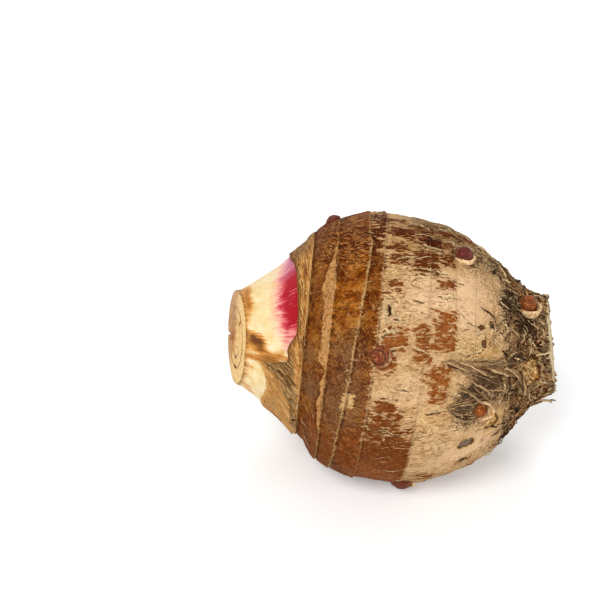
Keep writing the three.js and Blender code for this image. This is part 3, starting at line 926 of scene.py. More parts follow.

    # the neck, its marks, its grime and painted shade
    neck = ramp(curly, [
        (0.36, 222, 176, 118), (0.43, 184, 116, 58), (0.5, 124, 64, 22), (0.57, 34, 14, 4)])
    neck = layers(neck, [
        (patchy, 0.48, 0.55, 0.0, 0.85, (44, 20, 6)),
        (patchy, 0.45, 0.39, 0.0, 0.7, (188, 138, 84)),
        (fibre, 0.53, 0.59, 0.0, 0.85, (38, 18, 6)),
        (scratchRight, 0.57, 0.62, 0.0, 0.8, (206, 170, 120))])
    neck = over(neck, times(net[0], 0.5), (190, 156, 110))
    gate = between(painted("toNeck"), 0.0, 0.3)
    mottle = plus(swing(patchy, 2.6), swing(curly, 2.4))
    worn = plus(painted("toNeck"), times(mottle, gate))
    colour = over(colour, between(worn, 0.3, 0.5), neck)
    mark = nudged(painted("mark"), grit, 1.2)
    kind = painted("markKind")
    inner = ramp(kind, [(0.1, 180, 120, 50), (0.45, 134, 118, 98), (0.7, 112, 72, 42), (1.0, 62, 40, 24)])
    inner = over(inner, between(fine, 0.52, 0.6, 0.0, 0.6), (112, 88, 64))
    golden = times(between(grit, 0.46, 0.54), between(kind, 0.2, 0.4, 1.0, 0.0))
    inner = over(inner, golden, (236, 200, 138))
    inner = over(inner, between(curly, 0.54, 0.6, 0.0, 0.6), (84, 52, 26))
    colour = layers(colour, [
        (mark, 1.15, 1.3, 0.9, 0.0, (196, 160, 110)),
        (mark, 0.95, 1.05, 1.0, 0.0, (80, 44, 18)),
        (mark, 0.74, 0.86, 1.0, 0.0, inner)])
    # grime on the neck, and painted shade in the hollow beside the neck bud and above the open bud, laid on as one dark
    # grey
    sootAndShade = plus(swing(curly, 5.0), swing(grit, 1.6))
    raggedSootAndShade = between(painted("grime"), 0.0, 0.3, 0.45, 1.0)   # only a few specks on clean skin
    raggedSootAndShade = times(raggedSootAndShade, between(painted("grime"), 1.0, 1.2, 1.0, 0.5))
    sootAndShade = plus(painted("grime"), times(sootAndShade, raggedSootAndShade))
    colour = over(colour, between(sootAndShade, 0.6, 0.95, 0.0, 0.85), (46, 31, 22))
    frayed = times(painted("rim"), between(fibre, 0.49, 0.57, 0.0, 0.8))
    colour = over(colour, frayed, (198, 170, 130))

    # the cut face
    flesh = ramp(patchy, [(0.38, 238, 212, 160), (0.5, 246, 228, 184), (0.62, 250, 238, 208)])
    flesh = over(flesh, between(fine, 0.5, 0.4, 0.0, 0.5), (222, 186, 130))
    larger = specked(wrap, 2.4, 0.3, 0.2)
    flesh = over(flesh, times(larger, 0.75), (158, 96, 66))
    dots = specked(wrap, 0.9, 0.5, 0.16)
    flesh = over(flesh, times(dots, 0.7), (176, 128, 84))
    cut = painted("cut")
    edge = nudged(cut, grit, 0.12)
    flesh = over(flesh, between(edge, 0.03, 0.1, 0.9, 0.0), (150, 106, 62))
    veins = unsigned(minus(edge, 0.17))   # a ring of veins inside the rim
    flesh = over(flesh, between(veins, 0.01, 0.04, 0.45, 0.0), (190, 144, 88))
    colour = over(colour, between(cut, 0.0, 0.02), flesh)
    feed(shader.inputs["Base Color"], colour)

    height = plus(times(fibre, 0.7), times(grit, 0.9))
    height = plus(height, times(scratchLeft, 0.5))
    height = minus(height, times(times(curly, painted("toNeck")), 1.6))
    height = plus(height, times(cover, 0.25))
    height = minus(height, times(times(cracks[0], onTan), 0.6))
    height = plus(height, times(line, 0.3))
    bump(shader, height, 0.6)
    gloss = minus(0.8, times(times(cover, fine), 0.45))
    feed(shader.inputs["Roughness"], gloss)
    return material


cormPiece = makeCorm()
settle(cormPiece, cormMaterial(), "corm_skin", "corm")
print("corm", len(cormPiece.data.polygons), "faces")


# each clasping base: the turns it covers, how deep it lies and how thick it is
bases = [
    {"name": "stalkFront", "node": "leaf_stalk_front", "from": 13.5, "to": 206, "depth": 0.0, "thick": 5.4,
     "around": 320},
    {"name": "stalkLower", "node": "leaf_stalk_lower", "from": 208, "to": 375, "depth": 0.2, "thick": 4.9,
     "around": 280},
    {"name": "stalkInner", "node": "leaf_stalk_inner", "from": 64, "to": 300, "depth": 5.55, "thick": 3.5,
     "around": 200},
    {"name": "stalkWedge", "node": "leaf_stalk_wedge", "from": 304, "to": 420, "depth": 5.55, "thick": 3.5,
     "around": 160},
]
# where the magenta flush begins, by turn, and how strong it gets
flushTurns = [0, 14, 24, 31, 38, 50, 70, 92, 105, 130, 170, 206, 240, 300, 360]
flushStart = [-31, -31.5, -33, -35.8, -37.8, -39.0, -39.3, -38.2, -37.2, -37.6, -38.2, -35, -32, -34.5, -31]
flushCap = [-1, -1, -0.4, 0.2, 1.0, 5.6, 6, 3.2, 3, 5, 5, 1.5, 0.5, 1.5, 0]
# brown smears on the flesh: x, turn, half length, half width, strength
smears = [
    (-48.6, 34.0, 2.0, 1.6, 1.0), (-46.8, 31.2, 2.3, 1.9, 1.5), (-44.2, 28.4, 1.7, 1.7, 1.3),
    (-49.4, 80, 1.5, 4.2, 1.0), (-48.4, 66, 2.0, 2.6, 1.0), (-49.4, 50, 1.1, 3.4, 0.6),
    (-45.8, 22.4, 3.0, 1.0, 0.8), (-41.4, 20.4, 3.4, 1.1, 0.85), (-37.4, 22.0, 2.4, 1.8, 0.75),
    (-47, 12, 2.8, 1.0, 0.9), (-44.0, 15.4, 5.0, 0.9, 0.9), (-40.2, 17.0, 3.0, 0.8, 0.7),
    (-49.2, 30, 0.9, 4.0, 0.8),
    (-47.5, 2, 1.2, 2.2, 0.4),
    (-50, 100, 2.0, 5.0, 0.7), (-52, 140, 2.5, 6.0, 0.6), (-50, 250, 2.2, 6.0, 0.7), (-49, 320, 2.0, 5.0, 0.6),
    (-44, 128, 4.5, 1.2, 0.6), (-46, 176, 3.0, 2.6, 0.8), (-40, 198, 5.0, 1.4, 0.8), (-44, 222, 5.0, 1.8, 0.7),
    (-42, 262, 4.0, 2.2, 0.6), (-46, 292, 3.0, 1.6, 0.9),
]


def shootPlace(x, turn, off):
    radius, lift = shootAt(x)
    radius = radius + off
    return np.stack([x + xZero, -radius * np.cos(turn), form["axisHeight"] + lift + radius * np.sin(turn)], axis=-1)


def cutAt(turn, off):
    # the x at which the cut meets the shoot there
    facing, point = shoot["cutFacing"], shoot["cutPoint"]
    x = np.full(np.shape(turn), float(point[0]))
    for _ in range(8):
        y, z = shootPlace(x, turn, off)[..., 1:].T
        x = point[0] - (facing[1] * y + facing[2] * (z - point[2])) / facing[0]
    return x


def sphereGrid(name, around, levels):
    # a plain sphere whose vertices are numbered round it and down it, ready to be moved
    clearSelection()
    bpy.ops.mesh.primitive_uv_sphere_add(segments=around, ring_count=levels, radius=1)
    piece = bpy.context.object
    piece.name = name
    coords = readCoords(piece)
    level = np.rint(np.arccos(np.clip(coords[:, 2], -1, 1)) / math.pi * levels).astype(int)
    step = np.rint(np.arctan2(coords[:, 1], coords[:, 0]) / (2 * math.pi) * around).astype(int) % around
    return piece, level, step


def plainTorus(name, around, across):
    # a plain torus, with where each vertex lies: round it, out from its tube's middle, and up
    clearSelection()
    bpy.ops.mesh.primitive_torus_add(major_segments=around, minor_segments=across, major_radius=2, minor_radius=1)
    piece = bpy.context.object
    piece.name = name
    x, y, z = readCoords(piece).T
    return piece, np.arctan2(y, x), np.hypot(x, y) - 2, z


def roundedSection(around, wide, thick, power=4.5):
    # evenly spaced places on a flat rounded loop: across from -1 to 1, and through from -1 to 1
    angle = np.linspace(0, math.pi, 4001)
    across = np.sign(np.cos(angle)) * np.abs(np.cos(angle)) ** (2 / power)
    through = np.abs(np.sin(angle)) ** (2 / power)
    length = np.concatenate([[0], np.cumsum(np.hypot(np.diff(across) * wide, np.diff(through) * thick))])
    even = np.linspace(0, length[-1], around // 2 + 1)
    half = np.stack([np.interp(even, length, across), np.interp(even, length, through)], axis=1)
    back = half[-2:0:-1] * [1, -1]
    return np.concatenate([half, back])


def weldEnds(piece):
    # the pole points go, and the folded end rows close up
    bpy.ops.object.mode_set(mode="EDIT")
    bpy.ops.mesh.select_all(action="DESELECT")
    bpy.ops.object.mode_set(mode="OBJECT")
    for vertex in piece.data.vertices:
        vertex.select = vertex.co.length > 5
    bpy.ops.object.mode_set(mode="EDIT")
    bpy.ops.mesh.delete(type="VERT")
    bpy.ops.mesh.select_all(action="SELECT")
    bpy.ops.mesh.remove_doubles(threshold=1e-6)
    faceOutwards()


def makeBase(base):
    around, rows, cap = base["around"], shoot["rows"], shoot["capRows"]
    levels = rows + cap + 2
    piece, level, step = sphereGrid(base["name"], around, levels)
    middle = math.radians((base["from"] + base["to"]) / 2)
    half = math.radians((base["to"] - base["from"]) / 2)
    section = roundedSection(around, half * 22, base["thick"] / 2)
    cut = np.clip((level - rows - 1) / cap, 0, 1)
    shrink = np.where(level <= 1, 0.0, 1 - cut)
    share = np.clip((level - 2) / (rows - 1), 0, 1)
    share = 1 - (1 - share) ** 1.25
    across = section[step, 0] * (1 - (1 - shrink) * base["thick"] / 2 / (half * 22))
    through = section[step, 1] * shrink
    turn = middle + across * half
    depth = base["depth"] + base["thick"] * (0.5 - 0.5 * through)
    end = cutAt(turn, -depth)
    root = onRow(np.full(len(turn), shoot["ring"] - 1.4), turn)[0]
    x = root + share * (end - root)
    waver = noiseAt(np.stack([x, across * 30, 0 * x], axis=1), [7, 30, 1], 21, 2)
    turn = turn + across ** 9 * waver * 0.05
    points = shootPlace(x, turn, -depth)

    margin = (1 - np.abs(across)) * half * shootAt(x)[0]
    outer = smoothStep(-0.1, 0.3, through) * (cut <= 0)
    fromCut = x - end
    lift = outer * (0.07 * noiseAt(points, [9, 0.9, 0.9], 22, 2) + 0.35 * noiseAt(points, [14, 8, 8], 23))
    lift += outer * shoot["lip"] * smoothStep(1.6, 0.3, fromCut)
    lift += outer * 0.35 * smoothStep(3.5, 0.5, margin) * (base["depth"] == 0)
    lift -= outer * 0.9 * smoothStep(5, 0, margin) * (base["node"] == "leaf_stalk_lower")
    points = points + (shootPlace(x, turn, -depth + 1) - shootPlace(x, turn, -depth)) * lift[:, None]
    swell = np.where(cut > 0, 0.2 * smoothStep(0, 0.5, cut) + 0.1 * noiseAt(points, 0.8, 24, 2), 0)
    points = points + np.outer(swell, cutNormal)
    points[(level == 0) | (level == levels)] = (0, 0, 1e4)
    writeCoords(piece, points * mm)

    turnDegrees = np.degrees(turn) % 360
    flush = x - np.interp(turnDegrees, flushTurns, flushStart)
    flush = np.minimum(flush, np.interp(turnDegrees, flushTurns, flushCap))
    smear = np.zeros(len(x))
    for px, degrees, halfLength, halfWidth, strength in smears:
        side = turnFrom(turn, degrees) * shootAt(x)[0]
        smear += strength * np.exp(-((x - px) / halfLength) ** 2 - (side / halfWidth) ** 2)
    # away is the side of the shoot away from the front, where its cut face is painted in shade
    paint(
        piece, flush=np.where(outer > 0, flush, flush - 4), smear=smear * (outer > 0), fromCut=fromCut, margin=margin,
        cut=cut, layer=np.full(len(x), min(base["depth"] / 6, 1)), away=smoothStep(-0.2, 0.7, -np.cos(turn)),
        violet=smoothStep(74, 92, turnDegrees) * (1 - 0.7 * smoothStep(104, 140, turnDegrees)),
        wrap=np.stack([x, 20 * np.cos(turn), 20 * np.sin(turn)], axis=1))
    weldEnds(piece)
    smoothUpTo(60)
    return piece


def makeHeart():
    # the rolled middle of the shoot, whose cut face shows the roll
    rows, cap, around = 30, 26, 120
    piece, level, step = sphereGrid("stalkHeart", around, rows + cap)
    turn = step / around * 2 * math.pi
    share = np.clip((level - 1) / (rows - 1), 0, 1)
    cut = np.clip((level - rows) / cap, 0, 1)
    depth = 9.15 + 0 * turn
    end = cutAt(turn, -depth)
    root = shoot["ring"] - 3
    x = root + share * (end - root)
    points = shootPlace(x, turn, -depth)
    rim = points[level == rows]
    hub = rim.mean(axis=0)
    points = points + (hub - points) * cut[:, None]
    points[level == 0] = points[level == 1].mean(axis=0)
    reach = np.linalg.norm(points - hub, axis=1)
    roll = np.cos(turn - 2 * math.pi * reach / 2.6)
    swell = 0.16 * roll * smoothStep(0, 0.15, cut) + 0.1 * noiseAt(points, 0.8, 24, 2) - 0.1
    swell = np.where(cut > 0, swell, 0)
    points = points + np.outer(swell, cutNormal)
    writeCoords(piece, points * mm)
    smoothUpTo(60)
    zero = np.zeros(len(x))
    # away is the side away from the front, where the cut face is painted in shade
    paint(
        piece, flush=zero - 9, smear=zero, fromCut=x - end, margin=zero + 5, layer=zero + 1,
        cut=np.where(cut > 0, 0.5 + 0.5 * roll, 0), away=smoothStep(-0.2, 0.7, -np.cos(turn)), wrap=points)
    return piece


def stalkMaterial():
    material, shader = startMaterial("stalkFlesh", roughness=0.42, specular=0.12)
    spot = millimetres()
    wrap = painted("wrap", "Vector")
    fibre = streaked(wrap, 8.0, 0.4, 0.8, 3.0)
    broad = streaked(wrap, 5.0, 1.5, 2.5, 3.0)
    soft = cloud(spot, 4.0, detail=3.0, roughness=0.6)
    fine = cloud(spot, 0.5, detail=3.0, roughness=0.6)
    flesh = ramp(soft, [(0.35, 228, 198, 138), (0.5, 236, 210, 158), (0.65, 240, 222, 180)])
    flesh = over(flesh, between(fibre, 0.5, 0.72, 0.0, 0.3), (230, 204, 150))
    pores = specked(spot, 1.5, 0.14, 0.13)
    flesh = over(flesh, times(pores, 0.6), (176, 140, 92))

    push = plus(swing(fibre, 6.0), swing(broad, 6.0))
    flush = plus(painted("flush"), push)
    flesh = layers(flesh, [
        (flush, -3.4, 1.0, 0.0, 0.75, (238, 152, 150)),
        (flush, -0.8, 2.2, 0.0, 0.92, blend(painted("violet"), (206, 48, 74), (214, 138, 158))),
        (flush, 1.0, 3.6, 0.0, 0.95, blend(painted("violet"), (166, 0, 24), (188, 84, 116)))])
    paleStreak = times(between(fibre, 0.4, 0.34), between(painted("flush"), -1.0, 0.5))
    flesh = over(flesh, times(paleStreak, 0.55), (232, 140, 140))

    smudge = painted("smear")
    torn = plus(swing(broad, 1.6), swing(fibre, 2.2))
    smear = plus(smudge, times(torn, between(smudge, 0.0, 0.35)))
    flesh = layers(flesh, [
        (smear, 0.22, 0.6, 0.0, 0.85, (214, 144, 54)),
        (smear, 0.62, 0.95, 0.0, 0.75, (168, 98, 32)),
        (smear, 1.0, 1.5, 0.0, 0.9, (90, 46, 16))])
    edge = nudged(painted("fromCut"), broad, -5.0)
    flesh = layers(flesh, [
        (edge, 0.3, 2.4, 0.75, 0.0, (196, 136, 62)),
        (edge, -0.4, 0.9, 0.85, 0.0, (118, 72, 32))])
    side = nudged(painted("margin"), soft, 3.0)
    flesh = layers(flesh, [
        (side, 0.2, 3.4, 0.8, 0.0, (196, 132, 56)),
        (side, -0.2, 0.7, 0.8, 0.0, (126, 78, 36))])

    face = ramp(fine, [(0.36, 208, 152, 68), (0.5, 238, 196, 118), (0.64, 248, 216, 150)])
    cells = specked(spot, 0.8, 0.5, 0.2)
    face = over(face, times(cells, 0.6), (142, 90, 38))
    face = over(face, times(painted("layer"), 0.2), (210, 158, 88))
    # painted shade: the cut face is darker brown on its side away from the front
    face = over(face, times(painted("away"), between(soft, 0.35, 0.6, 1.0, 0.6)), (156, 92, 34))
    cut = painted("cut")
    rim = nudged(cut, fine, 0.25)
    face = over(face, between(rim, 0.02, 0.12, 0.8, 0.0), (168, 108, 44))
    feed(shader.inputs["Base Color"], blend(between(cut, 0.0, 0.03), flesh, face))
    height = plus(times(fibre, 0.5), times(fine, 0.4))
    height = minus(height, times(smear, 0.15))
    bump(shader, height, 0.25, 0.8)
    return material


stalkFlesh = stalkMaterial()
for base in bases:
    settle(makeBase(base), stalkFlesh, "stalk_flesh", base["node"])
settle(makeHeart(), stalkFlesh, "stalk_flesh", "leaf_stalk_heart")
print("cut leaf stalks")


collar = {
    "edge": [   # turn, x of its torn free edge
        (-60, -44), (-38, -45), (-27, -44.6), (-18, -43.6), (-9, -42.8), (-0.4, -43), (7, -43.9), (13.6, -45),
        (17, -39), (20, -35.4), (27, -35.9), (31, -35.1), (37, -32.9), (48, -32.5), (61, -32.6), (76, -33),
        (89, -33.8), (97, -35), (120, -35.4), (150, -33.2), (180, -34.6), (205, -37.2), (228, -39.8), (252, -41.6),
        (276, -42.6)],
    "ring": -30.6,           # the ring it hangs from
    "thickness": 0.5,
    "around": 620,
    "across": 60,
    "gap": 0.12,             # over what it covers
    # corners of the darker layers under the front stalk: their own darker colour, with painted shade from the stalk
    # over them
    "gash": [(-45.2, 6.8), (-38.5, 1.2), (-33.6, 10.4)],
    "gashBelow": [(-33.8, 10.4), (-38.7, 1.2), (-33.3, -8.5)],
}


def insideTriangle(x, y, corners):
    # mm inside a triangle's nearest side
    field = np.full(len(x), 99.0)
    for (ax, ay), (bx, by) in zip(corners, corners[1:] + corners[:1]):
        length = math.hypot(bx - ax, by - ay)
        field = np.minimum(field, ((bx - ax) * (y - ay) - (by - ay) * (x - ax)) / length)
    return field


def freeEdge(degrees, more=()):
    table = [*collar["edge"], *more]
    return np.interp(degrees, [turn for turn, x in table], [x for turn, x in table])


def cormUnder(x, turn):
    # how far the corm reaches from the shoot's own middle line
    return radiusAt(x, turn) - shootAt(x)[1] * np.sin(turn)


def makeCollar():
    piece, turn, reach, upDown = plainTorus("dryCollar", collar["around"], collar["across"])
    loop = np.mod(np.arctan2(upDown, reach) / (2 * math.pi), 1)
    share = 1 - np.abs(1 - 2 * loop)                 # 0 at the ring, 1 at the free edge
    outside = loop <= 0.5
    turnDegrees = np.degrees(turn)
    edge = freeEdge(np.where(turnDegrees < -60, turnDegrees + 360, turnDegrees), [(300, -43)])
    circle = ringOf(turn, 24)
    torn = 1.0 * noiseAt(circle, 3.2, 31, 2) + 0.6 * noiseAt(circle, 0.9, 32, 2)
    low = smoothStep(20, 8, turnDegrees) * smoothStep(-120, -60, turnDegrees)
    smooth = smoothStep(20, 30, turnDegrees) * smoothStep(95, 78, turnDegrees)   # clean where the flush shows
    edge = edge + torn * (0.3 - 0.24 * smooth) * (1 - 0.5 * low)
    start = onRow(np.full(len(turn), collar["ring"]), turn)[0] + 0.18 * noiseAt(circle, 2.2, 36, 2)
    x = start + share ** 0.9 * (edge - start)
    sunk = 1.1 * smoothStep(-1.5, -0.2, x - start)   # it lies close on the corm at the ring
    under = np.maximum(shootAt(x)[0] - sunk, cormUnder(x, turn)) + collar["gap"]
    thick = collar["thickness"] * (0.4 + 0.6 * smoothStep(0, 0.15, share))
    thick = thick * (1 - 0.6 * smoothStep(0.1, 1.0, share))
    points = shootPlace(x, turn, 0 * x)
    # its fibres slant along the stalks below and run round with the ring above
    arc = (np.radians(np.where(turnDegrees < -90, turnDegrees + 360, turnDegrees)) - 0.38) * 27
    slant = np.radians(40 + 42 * smoothStep(-3, 5, arc) - 20 * smoothStep(40, 60, arc))
    along = (x + 36) * np.cos(slant) - arc * np.sin(slant)
    weave = np.stack([along, (x + 36) * np.sin(slant) + arc * np.cos(slant), 0 * x], axis=1)
    crease = noiseAt(weave, [10, 1.3, 1], 33, 2)
    curl = smoothStep(0.75, 1.0, share) * (0.25 + 0.5 * np.maximum(0, noiseAt(circle, 5, 34)))
    lift = np.where(outside, thick, 0) + share * (0.28 * crease + 0.15) + curl
    lift += smoothStep(0.0, 0.2, share) * 0.18 * noiseAt(points, [2.5, 1.0, 1.0], 35, 2)
    off = under - shootAt(x)[0] + np.maximum(lift, np.where(outside, 0.12, 0))
    points = shootPlace(x, turn, off)
    points[:, 2] = np.maximum(points[:, 2], 0.3)
    writeCoords(piece, points * mm)
    gashes = [insideTriangle(x, turnFrom(turn, 0) * 27, collar[name]) for name in ("gash", "gashBelow")]
    paint(
        piece, share=share, fromRing=start - x, toEdge=x - edge, low=low, gash=np.maximum(*gashes), weave=weave,
        top=smoothStep(82, 98, np.abs(turnDegrees)))
    faceOutwards()
    smoothUpTo(70)
    return piece


def collarMaterial():
    material, shader = startMaterial("paperyHusk", roughness=0.75, specular=0.04)
    spot = millimetres()
    weave = painted("weave", "Vector")
    fibre = streaked(weave, 7.0, 0.28, 1.6, 3.0)
    broad = streaked(weave, 14.0, 2.0, 3.0, 4.0)
    flecks = streaked(weave, 1.8, 0.5, 2.0, 3.0)
    soft = cloud(spot, 4.0, detail=4.0, roughness=0.65)
    fine = cloud(spot, 0.45, detail=3.0, roughness=0.65)
    paper = ramp(broad, [
        (0.38, 132, 72, 22), (0.46, 184, 116, 48), (0.54, 212, 150, 80), (0.62, 236, 188, 120)])
    paper = over(paper, between(soft, 0.48, 0.6, 0.0, 0.6), (112, 72, 34))
    blotch = cloud(spot, 7.0, detail=5.0, roughness=0.7)
    paper = layers(paper, [
        (blotch, 0.5, 0.6, 0.0, 0.5, (146, 96, 46)),
        (blotch, 0.46, 0.38, 0.0, 0.6, (216, 160, 88)),
        (painted("share"), 0.1, 0.5, 0.45, 0.0, (206, 144, 76)),
        (painted("toEdge"), 0.2, 2.4, 0.5, 0.0, blend(painted("low"), (112, 68, 26), (214, 164, 96))),
        (fibre, 0.54, 0.59, 0.0, 0.7, (104, 54, 14)),
        (fibre, 0.46, 0.4, 0.0, 0.6, (232, 188, 122)),
        (flecks, 0.58, 0.63, 0.0, 0.7, (72, 38, 12)),
        (fine, 0.58, 0.66, 0.0, 0.4, (92, 56, 24))])
    paper = over(paper, times(painted("top"), between(soft, 0.35, 0.6, 0.8, 0.4)), (112, 88, 62))
    paper = over(paper, times(painted("low"), between(soft, 0.4, 0.6, 0.1, 0.5)), (200, 154, 94))
    # the darker layers under the front stalk, in their own brown with painted shade where the stalk hangs over them
    gash = nudged(painted("gash"), flecks, 5.0)
    worn = ramp(fibre, [(0.4, 196, 158, 104), (0.46, 138, 100, 56), (0.52, 104, 72, 38), (0.6, 54, 32, 14)])
    paper = over(paper, between(gash, -0.2, 0.3, 0.0, 0.95), worn)
    ring = nudged(painted("fromRing"), soft, 2.0)
    paper = over(paper, between(ring, 0.1, 0.4, 0.8, 0.0), (200, 156, 98))
    rag = nudged(painted("toEdge"), fibre, 2.0)
    rim = blend(painted("low"), (104, 60, 24), (212, 160, 92))
    paper = over(paper, between(rag, 0.1, 0.9, 0.85, 0.0), rim)
    feed(shader.inputs["Base Color"], paper)
    height = plus(times(fibre, 0.8), times(fine, 0.5))
    bump(shader, height, 0.4)
    return material


paperyHusk = collarMaterial()
collarPiece = makeCollar()
settle(collarPiece, paperyHusk, "papery_sheath", "dry_collar")
print("dry collar")


def stripsPiece(name, strips):
    # each strip is a list of (middle, across, up, half width, thickness), with one tone for the whole strip
    vertices, faces, tones = [], [], []
    for strip, tone in strips:
        first = len(vertices)
        for i, (middle, across, up, wide, thick) in enumerate(strip):
            for corner in (across * wide, up * thick, across * -wide, up * -thick):
                spot = middle + corner
                spot.z = max(spot.z, 0.1)   # none goes into the floor
                vertices.append(spot * mm)
                tones.append(tone)
            if i:
                a = first + 4 * (i - 1)
                faces += [(a + k, a + (k + 1) % 4, a + 4 + (k + 1) % 4, a + 4 + k) for k in range(4)]
        last = first + 4 * (len(strip) - 1)
        faces += [(first + 3, first + 2, first + 1, first), (last, last + 1, last + 2, last + 3)]
    mesh = bpy.data.meshes.new(name)
    mesh.from_pydata(vertices, [], faces)
    piece = bpy.data.objects.new(name, mesh)
    bpy.context.scene.collection.objects.link(piece)
    paint(piece, tone=tones)
    clearSelection()
    piece.select_set(True)
    bpy.context.view_layer.objects.active = piece
    faceOutwards()
    bpy.ops.object.shade_smooth()
    return piece


cormTree = BVHTree.FromObject(cormPiece, bpy.context.evaluated_depsgraph_get())
collarTree = BVHTree.FromObject(collarPiece, bpy.context.evaluated_depsgraph_get())


def onCorm(x, degrees, off):
    # a point off the finished, uneven skin, and the way that the skin faces
    if x < collar["ring"]:   # there the collar covers it
        inwards = (skinPoint(x, degrees) - skinPoint(x, degrees, 9)).normalized()
        spot, facing = collarTree.ray_cast(skinPoint(x, degrees, 9) * mm, inwards)[:2]
        if spot:
            return spot / mm + facing * off, facing
    spot, facing = cormTree.find_nearest(skinPoint(x, degrees) * mm)[:2]
    return spot / mm + facing * off, facing


def layStrip(spots):
    # adds the way across to each spot, which is (middle, up, half width, thickness)
    last = len(spots) - 1
    strip = []
    for i, (middle, up, wide, thick) in enumerate(spots):
        ahead = (spots[min(i + 1, last)][0] - spots[max(i - 1, 0)][0]).normalized()
        strip.append((middle, ahead.cross(up).normalized(), up, wide, thick))
    return strip


def strandOn(draw, x, degrees, heading, length, curl, off, wide, thick, steps=7, spring=0.0):
    # wanders over the skin from a place; a heading of 0 runs to the neck and 90 runs up
    spots = []
    for i in range(steps + 1):
        share = i / steps
        middle, up = onCorm(x, degrees, off + spring * math.sin(math.pi * share) * draw.uniform(0.6, 1.4))
        taper = 0.35 + 0.65 * math.sin(math.pi * min(0.97, max(0.06, share)))
        spots.append((middle, up, wide * taper, thick * taper))
        radius = max(12.0, float(radiusAt(np.array(x), np.array(math.radians(degrees)))))
        x += length / steps * math.cos(math.radians(heading))
        degrees += math.degrees(length / steps * math.sin(math.radians(heading)) / radius)
        heading += draw.uniform(-curl, curl)
    return layStrip(spots)


def fibreMaterial():
    material, shader = startMaterial("driedFibre", roughness=0.8, specular=0.04)
    spot = millimetres()
    tone = painted("tone")
    grain = cloud(spot, 0.7, detail=4.0, roughness=0.7)
    mixed = nudged(tone, grain, 0.9)
    colour = ramp(mixed, [
        (0.0, 26, 15, 9), (0.3, 94, 62, 38), (0.5, 140, 108, 76), (0.75, 188, 154, 110),
        (1.0, 234, 206, 154)])
    feed(shader.inputs["Base Color"], colour)
    bump(shader, grain, 0.35)
    return material


driedFibre = fibreMaterial()

# tone 0 is purple brown and 1 is rust
# cup is the way its pale foot faces, in degrees from the stalks round by the floor
buds = [
    {"name": "budShoulder", "node": "bud_shoulder", "x": 20.4, "turn": 79, "radius": 2.9, "height": 3.6, "lean": 20,
     "tone": 0.1, "scales": [0.3, 0.6], "cup": 105, "cupHeight": 1.3, "cupWide": 1.25},
    {"name": "budNeck", "node": "bud_neck", "x": 41.8, "turn": 69, "radius": 3.0, "height": 5.0, "lean": 25,
     "tone": 0.8, "scales": [0.35, 0.62, 0.82], "cup": 132, "cupHeight": 3.0, "cupWide": 1.42},
    {"name": "budBand", "node": "bud_band", "x": -7.2, "turn": 28.8, "radius": 3.0, "height": 1.9, "lean": 10,
     "tone": 0.55, "scales": [0.3, 0.55, 0.78], "cup": 150, "cupHeight": 0.6, "cupWide": 1.15, "dull": 0.45},
    {"name": "budOpen", "node": "bud_open", "x": 24.4, "turn": 0.8, "radius": 2.2, "height": 2.3, "lean": 8,
     "tone": 1.0, "scales": [0.35, 0.65], "cup": 170, "cupHeight": 2.6, "cupWide": 1.65},
    {"name": "budBelly", "node": "bud_belly", "x": 2.4, "turn": -55, "radius": 3.8, "height": 2.8, "lean": 15,
     "tone": 0.25, "scales": [0.3, 0.55, 0.8], "cup": 120, "cupHeight": 1.0, "cupWide": 1.15},
    {"name": "budTop", "node": "bud_crown", "x": -20.3, "turn": 111, "radius": 2.5, "height": 1.7, "lean": 15,
     "tone": 0.15, "scales": [0.35, 0.6, 0.8], "cup": 60, "cupHeight": 0.4, "cupWide": 1.15, "dull": 0.3},
    {"name": "budBackUpper", "node": "bud_back_upper", "x": 9, "turn": 158, "radius": 3.0, "height": 3.0, "lean": 20,
     "tone": 0.5, "scales": [0.3, 0.6, 0.82], "cup": 200, "cupHeight": 1.3, "cupWide": 1.3},
    {"name": "budBackLower", "node": "bud_back_lower", "x": -12, "turn": 202, "radius": 3.2, "height": 2.6,
     "lean": 15, "tone": 0.2, "scales": [0.32, 0.6, 0.8], "cup": 170, "cupHeight": 1.0, "cupWide": 1.25},
    {"name": "budBackShoulder", "node": "bud_back_shoulder", "x": 30, "turn": 196, "radius": 3.0, "height": 3.4,
     "lean": 10, "tone": 0.15, "scales": [0.3, 0.62], "cup": 190, "cupHeight": 1.6, "cupWide": 1.3},
    {"name": "budUnderNeck", "node": "bud_under_neck", "x": 40, "turn": 240, "radius": 2.6, "height": 3.0, "lean": 20,
     "tone": 0.75, "scales": [0.35, 0.65], "cup": 220, "cupHeight": 1.4, "cupWide": 1.3},
]
budFoot = 1.2                # how far a bud reaches down into the skin
budProfile = [(0, 0.9), (0.3, 1.04), (0.55, 0.98), (0.8, 0.72), (0.95, 0.34), (1, 0)]   # height, radius


def budFrame(bud):
    outwards, toStalks, across = skinFrame(bud["x"], bud["turn"])
    lean = math.radians(bud["lean"])
    axis = outwards * math.cos(lean) + toStalks * math.sin(lean)
    side = across.normalized()
    return skinPoint(bud["x"], bud["turn"], -budFoot), axis, side.cross(axis).normalized(), side


def layBud(piece, bud, rise, radius, angle):
    foot, axis, ahead, side = (np.array(v) for v in budFrame(bud))
    points = foot + np.outer(rise, axis)
    points = points + np.outer(radius * np.cos(angle), ahead) + np.outer(radius * np.sin(angle), side)
    points[:, 2] = np.maximum(points[:, 2], 0.1)
    writeCoords(piece, points * mm)


